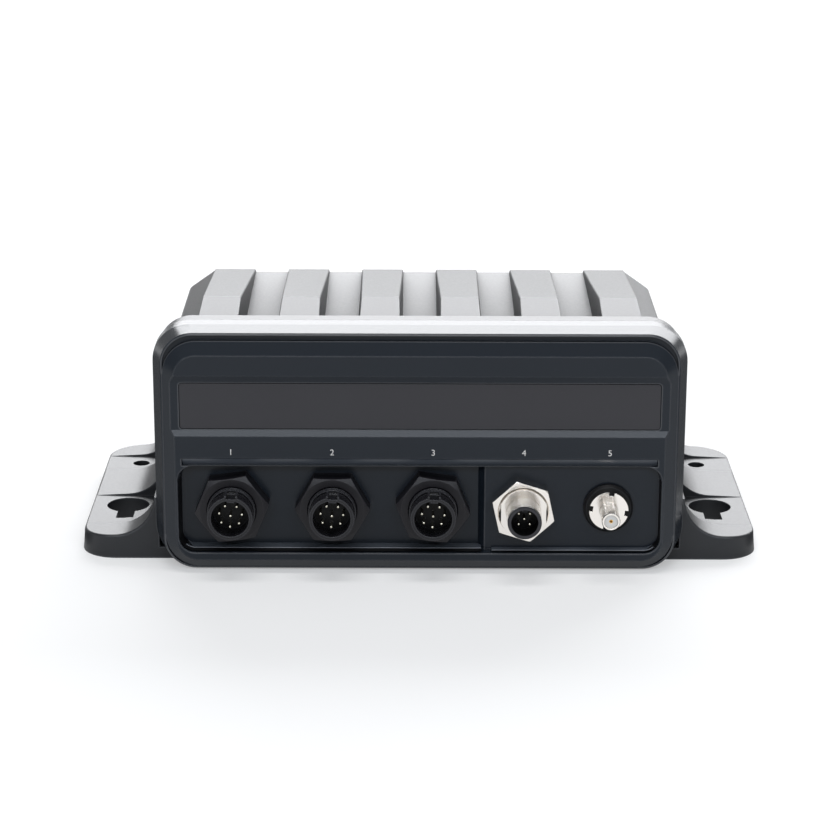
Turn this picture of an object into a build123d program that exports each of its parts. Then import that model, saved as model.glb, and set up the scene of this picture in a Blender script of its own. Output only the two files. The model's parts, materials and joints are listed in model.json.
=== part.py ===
from build123d import *
from math import cos, radians, sin, tan
import os

os.makedirs("parts", exist_ok=True)

# Hideaway marine radio: a finned die-cast transceiver box on a cast base with two mounting
# wings, closed in front by a panel that carries three microphone connectors, a network
# connector and a small coaxial jack.
# Millimetres. Origin at the middle of the base's underside, +X right, +Y back, +Z up.

# ---- Where the main pieces meet ----
joint_y = -47.0  # front panel meets chassis
chassis_length = 99.0  # joint plane to back face
close_fit = 0.1  # radial room between a screwed piece and its hole
pin_room = 0.03
thread_room = 0.05  # between a thread and its hole
sliding_gap = 0.2  # chassis foot inside the base
panel_gap = 0.35  # base casting round the front panel

# ---- Front panel ----
panel_width = 180.5  # at its widest section
panel_height = 84.0
ground_gap = 0.5  # panel's lower edge above the ground
panel_depth = 19.0  # joint plane to raised face
belt_depth = 6.0  # joint plane to the widest section
face_raise = 3.0  # raised face in front of the rim
side_slant = 3.25  # each side, from the widest section to the rim
rim_slant = 0.4  # top and bottom, the same way
rim_bevel = 0.6
rim_land = 0.2  # flat ring between the bevel and the groove
panel_corner = 12.5
rim_corner = 11.0
groove_depth = 1.6
groove_width = 1.8
face_base_corner = 11.4
face_side_slope = 3.8
face_top_slope = 4.4
face_bottom_slope = 3.3
face_corner = 7.5
face_edge_round = 0.4
panel_side_wall = 4.0
panel_sill = 7.7  # height of the panel's bottom wall
panel_top_wall = 4.0
panel_front_wall = 3.5
rear_pocket_depth = 8.0
cavity_corner = 8.0

# ---- Trough and blank label plate ----
trough_bottom = 48.5  # above the panel's lower edge
trough_lower_slope = 2.2
trough_floor_height = 16.6
trough_upper_slope = 2.4
trough_depth = 1.0
label_width = 160.8
label_height = 15.7
label_thickness = 0.8
label_corner = 0.9
label_gap = 0.25

# ---- Connector recess ----
recess_width = 163.2
recess_bottom = 7.1  # above the panel's lower edge
recess_height = 31.1
recess_corner = 5.5
recess_draft = 8.0  # degrees
recess_depth = 6.0
recess_step = 2.7  # the right part of the floor stands forward by this much
step_x = 22.0
step_run = 2.1  # how far the step's wall slopes to the left
hood_height = 2.7
hood_depth = 1.5
recess_wall = 3.0
step_wall = 1.8

# ---- Chassis ----
seal_height = 0.8
foot_inset = 0.65  # chassis foot narrower than the panel, each side
foot_height = 18.7
foot_bevel = 1.5
side_inset = 1.6  # side wall inside the foot
side_draft = 1.6
shoulder_edge_z = 69.6
shoulder_round = 3.0
shoulder_width = 10.5
shoulder_rise = 7.5
valley_back_z = 76.1
valley_front_z = 73.6
rib_count = 6
rib_pitch = 27.6
rib_top_width = 13.3
rib_draft = 6.7  # degrees
rib_back_z = 77.1
rib_peak_z = 85.2
rib_peak_y = -19.0
rib_front_slope = 6.3  # degrees
rib_root_depth = 2.0  # below the valley floor
rib_edge_round = 0.6
flange_depth = 9.0
flange_top_drop = 0.9
flange_corner = 12.0
flange_sill = 4.5
chassis_wall = 3.0
side_wall = 4.6
roof_thickness = 3.1  # under the lowest valley
cavity_bevel = 5.0
panel_seal_width = 1.6
panel_seal_depth = 1.5
panel_seal_inset = 0.9
base_seal_width = 2.0
base_seal_inset = 0.8

# ---- Base with wings ----
base_floor = 4.0
wing_span = 235.0
wing_lead = 3.9  # wing front ahead of the joint plane
wing_thickness = 7.5
wing_corner = 12.5
wing_draft = 5.0  # degrees
wing_slope = 3.0  # degrees
root_half_width = 91.5
root_radius = 14.0
root_rise = 13.64  # wing's inner end to the top of its root
lip_drop = 1.0
wing_edge_round = 0.8
hole_spacing = 208.0
rear_hole_radius = 3.0
rear_hole_y = 30.3
keyhole_radius = 7.5
keyhole_y = -16.7
slot_width = 6.0
slot_reach = 14.0  # keyhole centre to the slot's front end
key_spot_front = 6.7
key_spot_back = 2.7
rear_spot_reach = 8.2
spot_wall = 0.6
toe_half_width = 82.0  # where the wings' feet stop under the panel

# ---- Front connectors ----
connector_z = 23.4
mic_count = 3
mic_first_x = -63.5
mic_pitch = 34.0
mic_turns = [7.6, 0.0, -8.0]  # how far each nut was turned, degrees
mic_nut_size = 22.0
mic_nut_height = 7.2
mic_thread_radius = 8.1
mic_thread_pitch = 1.0
mic_thread_turns = 2  # ahead of the nut
mic_thread_depth = 0.35
mic_thread_rim = 0.7  # plain end of the thread
mic_neck_radius = 7.2
mic_neck_length = 1.0
mic_barrel_radius = 7.6
mic_reach = 16.1  # recess floor to barrel end
mic_bore_radius = 6.3
mic_bore_depth = 8.0
mic_key_width = 3.0
mic_key_depth = 0.7
mic_key_length = 5.2
mic_inner_key_width = 2.6
mic_inner_key_height = 0.6
mic_flange_radius = 10.0
mic_flange_height = 2.0
mic_tail_radius = 7.2
mic_pin_circle = 3.9
mic_pin_radius = 0.5
mic_pin_reach = 5.1
mic_ring_pins = 7
mic_pin_step = 49.9  # degrees between neighbours, with a wider gap at the key
mic_key_turn = -3.0  # degrees
pin_tip_round = 0.35

network_x = 35.0
network_nut_size = 19.0
network_nut_height = 5.6
network_nut_turn = -17.5
network_body_radius = 8.3
network_body_reach = 1.8  # ahead of the nut
network_body_flat = 7.6
network_thread_radius = 5.95
network_thread_pitch = 1.0
network_thread_turns = 8
network_thread_depth = 0.35
network_reach = 16.7
network_rim_radius = 5.7
network_rim_length = 0.7
network_bore_radius = 5.2
network_insert_wall = 0.45
network_bore_depth = 8.0
network_key_width = 1.6
network_key_height = 0.9
network_pin_offset = 1.9
network_pin_radius = 0.5
network_pin_reach = 4.0
network_flange_radius = 10.0
network_flange_height = 2.0
network_tail_radius = 6.6

jack_x = 63.9
jack_washer_radius = 8.4
jack_washer_height = 2.2
jack_nut_radius = 6.6
jack_nut_height = 2.2
jack_nut_turn = -8.0
jack_nut_slots = 4
jack_slot_width = 1.9
jack_slot_depth = 1.2
jack_thread_radius = 3.1
jack_thread_pitch = 0.7
jack_thread_turns = 16
jack_thread_depth = 0.22
jack_flat = 2.6
jack_rim_length = 0.5
jack_end_bevel = 0.3
jack_washer_bevel = 0.8
jack_reach = 15.3
jack_bore_radius = 2.3
jack_flange_radius = 5.0
jack_flange_height = 1.6
jack_tail_radius = 4.0
jack_dielectric_drop = 0.6
jack_contact_radius = 0.65
jack_socket_radius = 0.4
jack_socket_depth = 4.0
connector_seal_height = 0.8
nut_face_margin = 0.2  # bevelled face inside the flats of a deeply bevelled nut
nut_bevel = 30.0  # degrees
nut_lead = 0.35  # bevel at the thread's mouth
network_nut_corner = 0.5  # bevel off each corner

# ---- Rear fittings ----
antenna_x = -56.0
antenna_z = 46.0
antenna_flange_size = 25.4
antenna_flange_height = 2.6
antenna_flange_corner = 2.0
antenna_screw_spacing = 18.2
antenna_screw_length = 8.0
antenna_thread_radius = 7.9
antenna_thread_pitch = 1.06
antenna_thread_turns = 11
antenna_thread_depth = 0.45
antenna_reach = 17.0
antenna_bore_radius = 6.1
antenna_bore_depth = 12.0
antenna_tail_radius = 6.5
antenna_tail_length = 5.0
antenna_core_radius = 4.5
antenna_sleeve_radius = 5.2
antenna_sleeve_drop = 4.0
antenna_contact_radius = 2.9
antenna_contact_socket = 2.0
antenna_contact_tail = 2.0
gland_names = ["power_gland", "accessory_gland"]
gland_first_x = 22.0
gland_pitch = 34.0
gland_z = 34.0
gland_thread_radius = 8.0
gland_collar_size = 20.0
gland_collar_height = 4.0
gland_neck_radius = 7.5
gland_neck_reach = 8.0
gland_cap_size = 19.0
gland_cap_height = 9.0
gland_dome_height = 4.0
gland_mouth_radius = 5.0
gland_stub_length = 8.0
gland_seal_radius = 6.0
gland_seal_length = 8.0
gland_seal_sink = 1.0
gland_bore_radius = 4.8
gland_cord_radius = 3.3
ground_x = -16.0
ground_z = 25.0
ground_washer_radius = 6.0
ground_washer_height = 1.2
ground_boss_radius = 6.5
ground_boss_length = 8.0
ground_screw_length = 10.0

# ---- Screws ----
m3_radius = 1.5
m3_head_radius = 2.8
m3_head_height = 2.2
m4_radius = 2.0
m4_head_radius = 3.9
m4_head_height = 2.9
m4_sunk_radius = 4.0
m4_sunk_height = 2.2
drive_depth = 1.2
drive_width = 0.8
drive_share = 1.2  # cross length for each unit of head radius
free_hole_room = 0.2
hole_end_room = 1.0  # hole deeper than its screw
panel_screw_x = 78.0
panel_screw_low_z = 26.0
panel_screw_high_z = 64.0
panel_boss_radius = 3.6
lug_size = 9.0
lug_thickness = 4.0
panel_screw_bite = 7.0
base_screw_x = 78.6
base_screw_ys = [-33.0, 4.0, 42.0]
base_column_radius = 4.6
base_column_height = 14.0
base_screw_bite = 9.0

# ---- Electronics ----
board_thickness = 1.6
main_board_z = 12.0
main_board_width = 144.0
main_board_front_y = -36.0
main_board_length = 79.0
standoff_radius = 3.5
standoff_inset = 5.0
board_screw_bite = 5.0
board_gap = 1.0  # board edge to the columns
front_board_width = 146.0
front_board_gap = 4.0  # its front face ahead of the joint plane
front_board_bottom_z = 11.0
front_board_height = 26.0
pin_tail = 0.8
amplifier_board_z = 60.0
amplifier_board_x = -14.0
amplifier_board_width = 104.0
amplifier_board_front_y = -28.0
amplifier_board_length = 62.0
amplifier_width = 62.0
amplifier_length = 18.0
amplifier_y = -6.0
thermal_pad_height = 0.5
shield_width = 52.0
shield_length = 36.0
shield_height = 7.0
shield_wall = 0.5
shield_inset = 36.0  # centre from the board's left edge
shield_y = 2.0
processor_size = 14.0
processor_height = 1.4
processor_x = 14.0
processor_y = -8.0
audio_width = 20.0
audio_length = 11.0
audio_height = 3.0
audio_inset = 28.0  # centre from the board's right edge
audio_y = -14.0
capacitor_count = 3
capacitor_radius = 6.3
capacitor_height = 20.0
capacitor_bevel = 0.6
capacitor_inset = 18.0  # last one's centre from the board's right edge
capacitor_pitch = 14.0
capacitor_y = 24.0
choke_radius = 7.0
choke_wire_radius = 3.2
choke_spacing = 22.0  # from the first capacitor
choke_y = 28.0
relay_width = 20.0
relay_length = 10.0
relay_height = 11.0
relay_inset = 24.0  # centre from the board's left edge
relay_y = 30.0
ribbon_x = -12.5
ribbon_width = 28.0
ribbon_thickness = 1.0
ribbon_radius = 5.0
ribbon_hold = 2.0
ribbon_plug_depth = 5.0
ribbon_plug_height = 6.0
ribbon_plug_wall = 2.0
ribbon_front_z = 33.5
ribbon_back_y = -30.0
coax_radius = 1.8
coax_bend = 8.0
coax_foot_y = 26.0

# ---- Values that follow from the sizes above ----
position_room = 0.05  # how far off an edge may lie to be picked by its position
ABOVE = (Align.CENTER, Align.CENTER, Align.MIN)
BELOW = (Align.CENTER, Align.CENTER, Align.MAX)
SIDES = (-1, 1)

face_y = joint_y - panel_depth
rim_y = face_y + face_raise
belt_y = joint_y - belt_depth
panel_half_width = panel_width / 2
panel_bottom = ground_gap
panel_top = ground_gap + panel_height
rim_half_width = panel_half_width - side_slant
rim_bottom = panel_bottom + rim_slant
rim_top = panel_top - rim_slant
rim_border = rim_bevel + rim_land
face_base_half_width = rim_half_width - rim_border
face_base_bottom = rim_bottom + rim_border
groove_top = rim_top - rim_border
face_base_top = groove_top - groove_width
face_half_width = face_base_half_width - face_side_slope
face_bottom = face_base_bottom + face_bottom_slope
face_top = face_base_top - face_top_slope

trough_z = panel_bottom + trough_bottom
trough_floor_z = trough_z + trough_lower_slope
trough_top_z = trough_floor_z + trough_floor_height + trough_upper_slope
trough_y = face_y + trough_depth
label_z = trough_floor_z + trough_floor_height / 2
label_back_y = trough_y + label_thickness

left_floor_y = face_y + recess_depth
right_floor_y = left_floor_y - recess_step
recess_half_width = recess_width / 2
recess_low_z = panel_bottom + recess_bottom
recess_top_z = recess_low_z + recess_height
upper_pocket_y = trough_y + panel_front_wall
left_pocket_y = left_floor_y + recess_wall
right_pocket_y = right_floor_y + recess_wall

chassis_back_y = joint_y + chassis_length
chassis_inner_back_y = chassis_back_y - chassis_wall
chassis_bottom = base_floor + seal_height
foot_half_width = panel_half_width - foot_inset
foot_top_z = chassis_bottom + foot_height
side_half_width = foot_half_width - side_inset
shoulder_half_width = side_half_width - side_draft
crown_half_width = shoulder_half_width - shoulder_width
crown_z = shoulder_edge_z + shoulder_rise
roof_z = valley_front_z - roof_thickness
cavity_half_width = side_half_width - side_wall
flange_top_z = panel_top - flange_top_drop
flange_back_y = joint_y + flange_depth
rib_xs = [(i - (rib_count - 1) / 2) * rib_pitch for i in range(rib_count)]
rib_root_z = valley_front_z - rib_root_depth
lug_back_y = joint_y + lug_thickness

base_front_y = joint_y - wing_lead
wing_half_span = wing_span / 2
wing_root_rise = (wing_half_span - root_half_width) * tan(radians(wing_slope))
wing_root_z = wing_thickness + wing_root_rise
root_height = wing_root_z + root_rise
hole_x = hole_spacing / 2
spot_x = root_half_width + spot_wall

mic_xs = [mic_first_x + i * mic_pitch for i in range(mic_count)]
gland_xs = [gland_first_x + i * gland_pitch for i in range(len(gland_names))]
panel_screw_zs = (panel_screw_low_z, panel_screw_high_z)
panel_screw_spots = [(side * panel_screw_x, z) for side in SIDES for z in panel_screw_zs]
base_screw_spots = [(side * base_screw_x, y) for side in SIDES for y in base_screw_ys]

main_board_mid_y = main_board_front_y + main_board_length / 2
main_board_top_z = main_board_z + board_thickness
board_edge_x = main_board_width / 2
board_screw_ys = [(a + b) / 2 for a, b in zip(base_screw_ys, base_screw_ys[1:])]
board_screw_spots = [(side * (board_edge_x - standoff_inset), y) for side in SIDES for y in board_screw_ys]
shield_x = shield_inset - board_edge_x
relay_x = relay_inset - board_edge_x
audio_x = board_edge_x - audio_inset
last_capacitor_x = board_edge_x - capacitor_inset
capacitor_xs = [last_capacitor_x - i * capacitor_pitch for i in range(capacitor_count)]
choke_x = capacitor_xs[-1] - choke_spacing
amplifier_mid_y = amplifier_board_front_y + amplifier_board_length / 2
amplifier_board_top_z = amplifier_board_z + board_thickness
amplifier_hole_x = amplifier_board_width - 2 * standoff_inset
amplifier_hole_y = amplifier_board_length - 2 * standoff_inset
front_board_y = joint_y - front_board_gap
front_board_back_y = front_board_y + board_thickness
front_board_mid_z = front_board_bottom_z + front_board_height / 2
left_tail = front_board_y - left_floor_y  # recess floor back to the front board
right_tail = front_board_y - right_floor_y
flange_front = -(recess_wall + connector_seal_height)  # connector flange, on the local axis

mic_key_wall = mic_barrel_radius - mic_key_depth - mic_bore_radius  # under the key groove
mic_key_angle = 90 + mic_key_turn
mic_far_pin_angle = mic_key_angle + 180 - mic_pin_step * (mic_ring_pins - 1) / 2
mic_pin_angles = [mic_far_pin_angle + k * mic_pin_step for k in range(mic_ring_pins)]
mic_pin_spots = [(0.0, 0.0)] + [
    (mic_pin_circle * cos(radians(a)), mic_pin_circle * sin(radians(a))) for a in mic_pin_angles
]
network_pin_spots = [(0.0, 0.0)] + [
    (i * network_pin_offset, k * network_pin_offset) for i in SIDES for k in SIDES
]


def facing(y):
    """Upright plane at depth y that looks forward, X to the right and Z up."""
    return Plane.XZ.offset(-y)


def front_station(x, y):
    """Plane of a front connector: its local Z points forward out of the recess floor."""
    return Plane(origin=(x, y, connector_z), x_dir=(1, 0, 0), z_dir=(0, -1, 0))


def rear_station(x, z, y=chassis_back_y):
    """Plane of a rear fitting: its local Z points back."""
    return Plane(origin=(x, y, z), x_dir=(-1, 0, 0), z_dir=(0, 1, 0))


def outline(half_width, bottom, top, radius):
    """Rounded rectangle given by its edges, in a plane that looks forward."""
    with Locations((0, (bottom + top) / 2)):
        RectangleRounded(2 * half_width, top - bottom, radius)


def mirrored_face(points):
    """Face enclosed by a right-hand outline and its mirror image."""
    Polygon(*points, *[(-x, z) for x, z in reversed(points)], align=None)


def disc(radius, start, end, mode=Mode.ADD):
    """Round slab on the local axis, from one height to another."""
    with Locations((0, 0, start)):
        Cylinder(radius, end - start, align=ABOVE, mode=mode)


def pegs(spots, radius, start, end, mode=Mode.ADD):
    """Equal round pegs at several spots, from one height to another."""
    with Locations(*[(x, y, start) for x, y in spots]):
        Cylinder(radius, end - start, align=ABOVE, mode=mode)


def thread_ridges(radius, pitch, turns, front):
    """Rings that stand for a thread, counted back from its front end."""
    for k in range(turns):
        disc(radius, front - (k + 1) * pitch, front - (k + 0.5) * pitch)


def hexagon(size, start, height, bore_radius, turn=0.0, face_radius=None):
    """Hexagonal ring whose far corners are bevelled; the first solid of its part."""
    if face_radius is None:
        face_radius = size / 2 - nut_face_margin
    base_radius = face_radius + height / tan(radians(nut_bevel))
    with Locations((0, 0, start)):
        Cone(base_radius, face_radius, height, align=ABOVE)
        for k in range(3):
            flats = (0, 0, turn + 60 * k)
            Box(2 * base_radius, size, height, rotation=flats, align=ABOVE, mode=Mode.INTERSECT)
        Cylinder(bore_radius, height, align=ABOVE, mode=Mode.SUBTRACT)


def lead_in(bore_radius, top):
    """Bevel at the mouth of a threaded bore."""
    with Locations((0, 0, top - nut_lead)):
        Cone(bore_radius, bore_radius + nut_lead, nut_lead, align=ABOVE, mode=Mode.SUBTRACT)


def cross_recess(head_radius, top):
    """Cross-shaped drive recess in a screw head."""
    with Locations((0, 0, top)):
        Box(drive_share * head_radius, drive_width, drive_depth, align=BELOW, mode=Mode.SUBTRACT)
        Box(drive_width, drive_share * head_radius, drive_depth, align=BELOW, mode=Mode.SUBTRACT)


def pan_screw(radius, length, head_radius, head_height):
    """Pan-head screw whose head stands on the local plane."""
    Cylinder(head_radius, head_height, align=ABOVE)
    Cylinder(radius, length, align=BELOW)
    cross_recess(head_radius, head_height)


def finish(part, label):
    """Name a finished piece and write it."""
    part.label = label
    export_step(part, f"parts/{label}.step")


# ---- Front panel ----
with BuildPart() as front_panel:
    with BuildSketch(facing(joint_y)):
        outline(panel_half_width, panel_bottom, panel_top, panel_corner)
    extrude(amount=belt_depth)
    with BuildSketch(facing(belt_y)):
        outline(panel_half_width, panel_bottom, panel_top, panel_corner)
    with BuildSketch(facing(rim_y + rim_bevel)):
        outline(rim_half_width, rim_bottom, rim_top, rim_corner)
    with BuildSketch(facing(rim_y)):
        outline(
            rim_half_width - rim_bevel,
            rim_bottom + rim_bevel,
            rim_top - rim_bevel,
            rim_corner - rim_bevel,
        )
    loft(ruled=True)

    # Groove inside the rim: a shallow pocket, then the raised face standing in it.
    with BuildSketch(facing(rim_y)):
        outline(face_base_half_width, face_base_bottom, groove_top, rim_corner - rim_border)
    extrude(amount=-groove_depth, mode=Mode.SUBTRACT)
    with BuildSketch(facing(rim_y + groove_depth)):
        outline(face_base_half_width, face_base_bottom, face_base_top, face_base_corner)
    extrude(amount=groove_depth)
    with BuildSketch(facing(rim_y)):
        outline(face_base_half_width, face_base_bottom, face_base_top, face_base_corner)
    with BuildSketch(facing(face_y)):
        outline(face_half_width, face_bottom, face_top, face_corner)
    loft(ruled=True)
    fillet(front_panel.faces().sort_by(Axis.Y)[0].edges(), radius=face_edge_round)

    # Trough across the whole raised face, and the seat of the label plate in its floor.
    with BuildSketch(Plane.YZ):
        with BuildLine():
            Polyline(
                (face_y - face_raise, trough_z - trough_lower_slope * face_raise / trough_depth),
                (trough_y, trough_floor_z),
                (trough_y, trough_floor_z + trough_floor_height),
                (face_y - face_raise, trough_top_z + trough_upper_slope * face_raise / trough_depth),
                close=True,
            )
        make_face()
    extrude(amount=panel_half_width, both=True, mode=Mode.SUBTRACT)
    fillet(front_panel.edges().filter_by(Axis.X).group_by(Axis.Y)[0], radius=face_edge_round)
    with BuildSketch(facing(label_back_y)):
        with Locations((0, label_z)):
            RectangleRounded(
                label_width + 2 * label_gap,
                label_height + 2 * label_gap,
                label_corner + label_gap,
            )
    extrude(amount=label_thickness, mode=Mode.SUBTRACT)

    # Connector recess: its right floor stands forward, its left floor lies beyond a sloping step.
    with BuildSketch(facing(face_y)):
        outline(recess_half_width, recess_low_z, recess_top_z, recess_corner)
    extrude(amount=-(recess_depth - recess_step), taper=recess_draft, mode=Mode.SUBTRACT)
    for floor_y, floor_end_x in ((right_floor_y, step_x), (left_floor_y, step_x - step_run)):
        draft = (floor_y - face_y) * tan(radians(recess_draft))
        with BuildSketch(facing(floor_y)):
            outline(
                recess_half_width - draft,
                recess_low_z + draft,
                recess_top_z - draft,
                recess_corner - draft,
            )
            with Locations((floor_end_x, recess_low_z)):
                Rectangle(
                    recess_width,
                    panel_height,
                    align=(Align.MIN, Align.CENTER),
                    mode=Mode.SUBTRACT,
                )
    loft(ruled=True, mode=Mode.SUBTRACT)
    lower_face = front_panel.faces().group_by(Axis.Y)[0].sort_by(Axis.Z)[0]
    fillet(lower_face.inner_wires()[0].edges(), radius=face_edge_round)
    with BuildSketch(Plane.YZ):
        with BuildLine():
            Polyline(
                (face_y, recess_top_z),
                (face_y, recess_top_z + hood_height),
                (face_y + hood_depth, recess_top_z),
                close=True,
            )
        make_face()
    extrude(amount=recess_half_width - hood_depth, both=True, mode=Mode.SUBTRACT)
    hood_top = recess_top_z + hood_height
    hood_edges = front_panel.edges().filter_by(Axis.X).filter_by_position(
        Axis.Z, hood_top - face_edge_round, hood_top + face_edge_round
    )
    fillet(hood_edges.sort_by(Axis.Y)[0], radius=face_edge_round)

    # Pockets in the back.
    with BuildSketch(facing(joint_y)):
        outline(
            panel_half_width - panel_side_wall,
            panel_bottom + panel_sill,
            panel_top - panel_top_wall,
            cavity_corner,
        )
    extrude(amount=rear_pocket_depth, mode=Mode.SUBTRACT)
    pocket_half_width = rim_half_width - panel_side_wall
    pocket_split_z = recess_top_z + hood_height + recess_wall
    with BuildSketch(facing(joint_y)):
        outline(
            pocket_half_width,
            pocket_split_z,
            face_base_top - panel_front_wall,
            cavity_corner - panel_side_wall,
        )
    extrude(amount=joint_y - upper_pocket_y, mode=Mode.SUBTRACT)
    with BuildSketch(facing(joint_y)):
        outline(
            pocket_half_width,
            panel_bottom + panel_sill,
            pocket_split_z - recess_wall,
            cavity_corner - panel_side_wall,
        )
    extrude(amount=joint_y - left_pocket_y, mode=Mode.SUBTRACT)
    with BuildSketch(facing(joint_y)):
        with Locations((step_x + step_wall, panel_bottom + panel_sill + recess_wall)):
            Rectangle(
                pocket_half_width - step_x - step_wall - recess_wall,
                pocket_split_z - panel_sill - panel_bottom - 3 * recess_wall,
                align=(Align.MIN, Align.MIN),
            )
    extrude(amount=joint_y - right_pocket_y, mode=Mode.SUBTRACT)

    # Screw bosses, rooted in the front wall.
    for x, z in panel_screw_spots:
        if z == panel_screw_high_z:
            wall_y = upper_pocket_y
        elif x < 0:
            wall_y = left_pocket_y
        else:
            wall_y = right_pocket_y
        with BuildSketch(facing(joint_y)):
            with Locations((x, z)):
                Circle(panel_boss_radius)
        extrude(amount=joint_y - wall_y + recess_wall / 2)
    with BuildSketch(facing(joint_y)):
        with Locations(*panel_screw_spots):
            Circle(m3_radius + thread_room)
    extrude(amount=panel_screw_bite + hole_end_room, mode=Mode.SUBTRACT)

    # Connector holes.
    with BuildSketch(facing(joint_y)):
        with Locations(*[(x, connector_z) for x in mic_xs]):
            Circle(mic_thread_radius + close_fit)
        with Locations((network_x, connector_z)):
            Circle(network_body_radius + close_fit)
        with Locations((jack_x, connector_z)):
            Circle(jack_thread_radius + close_fit)
    extrude(amount=panel_depth, mode=Mode.SUBTRACT)
finish(front_panel.part, "front_panel")

with BuildPart() as label_plate:
    with BuildSketch(facing(label_back_y)):
        with Locations((0, label_z)):
            RectangleRounded(label_width, label_height, label_corner)
    extrude(amount=label_thickness)
finish(label_plate.part, "label_plate")


# ---- Chassis casting ----
def seal_ring():
    """Outline of the panel seal, a rounded ring inside the front flange."""
    ring_half_width = foot_half_width - panel_seal_inset
    ring_bottom = chassis_bottom + panel_seal_inset
    ring_top = flange_top_z - panel_seal_inset
    outline(ring_half_width, ring_bottom, ring_top, flange_corner - panel_seal_inset)
    with Locations((0, (ring_bottom + ring_top) / 2)):
        RectangleRounded(
            2 * (ring_half_width - panel_seal_width),
            ring_top - ring_bottom - 2 * panel_seal_width,
            flange_corner - panel_seal_inset - panel_seal_width,
            mode=Mode.SUBTRACT,
        )


with BuildPart() as chassis:
    with BuildSketch(facing(chassis_back_y)):
        mirrored_face([
            (foot_half_width, chassis_bottom),
            (foot_half_width, foot_top_z),
            (side_half_width, foot_top_z + foot_bevel),
            (shoulder_half_width, shoulder_edge_z),
            (crown_half_width, crown_z),
        ])
    extrude(amount=chassis_length)
    fillet(
        chassis.edges()
        .filter_by(Axis.Y)
        .filter_by_position(Axis.Z, shoulder_edge_z - position_room, shoulder_edge_z + position_room),
        radius=shoulder_round,
    )

    # Valley floors slope down to the front, the rib crests are gabled.
    with BuildSketch(Plane.YZ):
        with BuildLine():
            Polyline(
                (joint_y, valley_front_z),
                (chassis_back_y, valley_back_z),
                (chassis_back_y, crown_z),
                (joint_y, crown_z),
                close=True,
            )
        make_face()
    extrude(amount=rib_xs[-1], both=True, mode=Mode.SUBTRACT)
    rib_height = rib_peak_z - rib_root_z
    with BuildSketch(facing(chassis_back_y)):
        with Locations(*[(x, rib_root_z) for x in rib_xs]):
            Trapezoid(
                rib_top_width + 2 * rib_height * tan(radians(rib_draft)),
                rib_height,
                90 - rib_draft,
                align=(Align.CENTER, Align.MIN),
            )
    extrude(amount=chassis_length)
    with BuildSketch(Plane.YZ):
        with BuildLine():
            Polyline(
                (chassis_back_y, rib_back_z),
                (rib_peak_y, rib_peak_z),
                (joint_y, rib_peak_z - (rib_peak_y - joint_y) * tan(radians(rib_front_slope))),
                (joint_y, rib_peak_z + rib_height),
                (chassis_back_y, rib_peak_z + rib_height),
                close=True,
            )
        make_face()
    extrude(amount=foot_half_width, both=True, mode=Mode.SUBTRACT)

    crests = [
        face for face in chassis.faces()
        if face.normal_at().Z > 0.9 and face.center().Z > valley_back_z + rib_edge_round
    ]
    crest_edges = [edge for face in crests for edge in face.edges() if edge.length > rib_top_width * 1.5]
    fillet(crest_edges, radius=rib_edge_round)

    with BuildSketch(facing(flange_back_y)):
        outline(foot_half_width, chassis_bottom, flange_top_z, flange_corner)
    extrude(amount=flange_depth)
    with BuildSketch(facing(joint_y + panel_seal_depth)):
        seal_ring()
    extrude(amount=panel_seal_depth, mode=Mode.SUBTRACT)

    # Inside: open at the bottom, and at the front above a low sill.
    for back, front, bottom in (
        (chassis_inner_back_y, flange_back_y, chassis_bottom),
        (flange_back_y, joint_y, chassis_bottom + flange_sill),
    ):
        with BuildSketch(facing(back)):
            mirrored_face([
                (cavity_half_width, bottom),
                (cavity_half_width, roof_z - cavity_bevel),
                (cavity_half_width - cavity_bevel, roof_z),
            ])
        extrude(amount=back - front, mode=Mode.SUBTRACT)

    # Lugs for the panel screws, joined to the side walls.
    lug_inner_x = panel_screw_x - lug_size / 2
    lug_width = cavity_half_width + chassis_wall / 2 - lug_inner_x
    for side in SIDES:
        with BuildSketch(facing(lug_back_y)):
            with Locations(*[(side * (lug_inner_x + lug_width / 2), z) for z in panel_screw_zs]):
                Rectangle(lug_width, lug_size)
        extrude(amount=lug_thickness)
    with BuildSketch(facing(lug_back_y)):
        with Locations(*panel_screw_spots):
            Circle(m3_radius + free_hole_room)
    extrude(amount=lug_thickness, mode=Mode.SUBTRACT)

    # Columns that the base screws into, webbed to the side walls.
    web_width = cavity_half_width + chassis_wall / 2 - base_screw_x
    with BuildSketch(Plane.XY.offset(base_floor)):
        with Locations(*base_screw_spots):
            Circle(base_column_radius)
    extrude(amount=base_column_height)
    for side in SIDES:
        with BuildSketch(Plane.XY.offset(chassis_bottom)):
            with Locations(*[(side * (base_screw_x + web_width / 2), y) for y in base_screw_ys]):
                Rectangle(web_width, base_column_radius)
        extrude(amount=base_column_height - seal_height)
    with BuildSketch(Plane.XY.offset(base_floor)):
        with Locations(*base_screw_spots):
            Circle(m4_radius + thread_room)
    extrude(amount=base_screw_bite + hole_end_room, mode=Mode.SUBTRACT)

    # Standoffs for the amplifier board, hanging from the roof.
    with BuildSketch(Plane.XY.offset(amplifier_board_top_z)):
        with Locations((amplifier_board_x, amplifier_mid_y)):
            with GridLocations(amplifier_hole_x, amplifier_hole_y, 2, 2):
                Circle(standoff_radius)
    extrude(amount=roof_z - amplifier_board_top_z + roof_thickness / 2)
    with BuildSketch(Plane.XY.offset(amplifier_board_top_z)):
        with Locations((amplifier_board_x, amplifier_mid_y)):
            with GridLocations(amplifier_hole_x, amplifier_hole_y, 2, 2):
                Circle(m3_radius + thread_room)
    extrude(amount=board_screw_bite + hole_end_room, mode=Mode.SUBTRACT)

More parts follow.
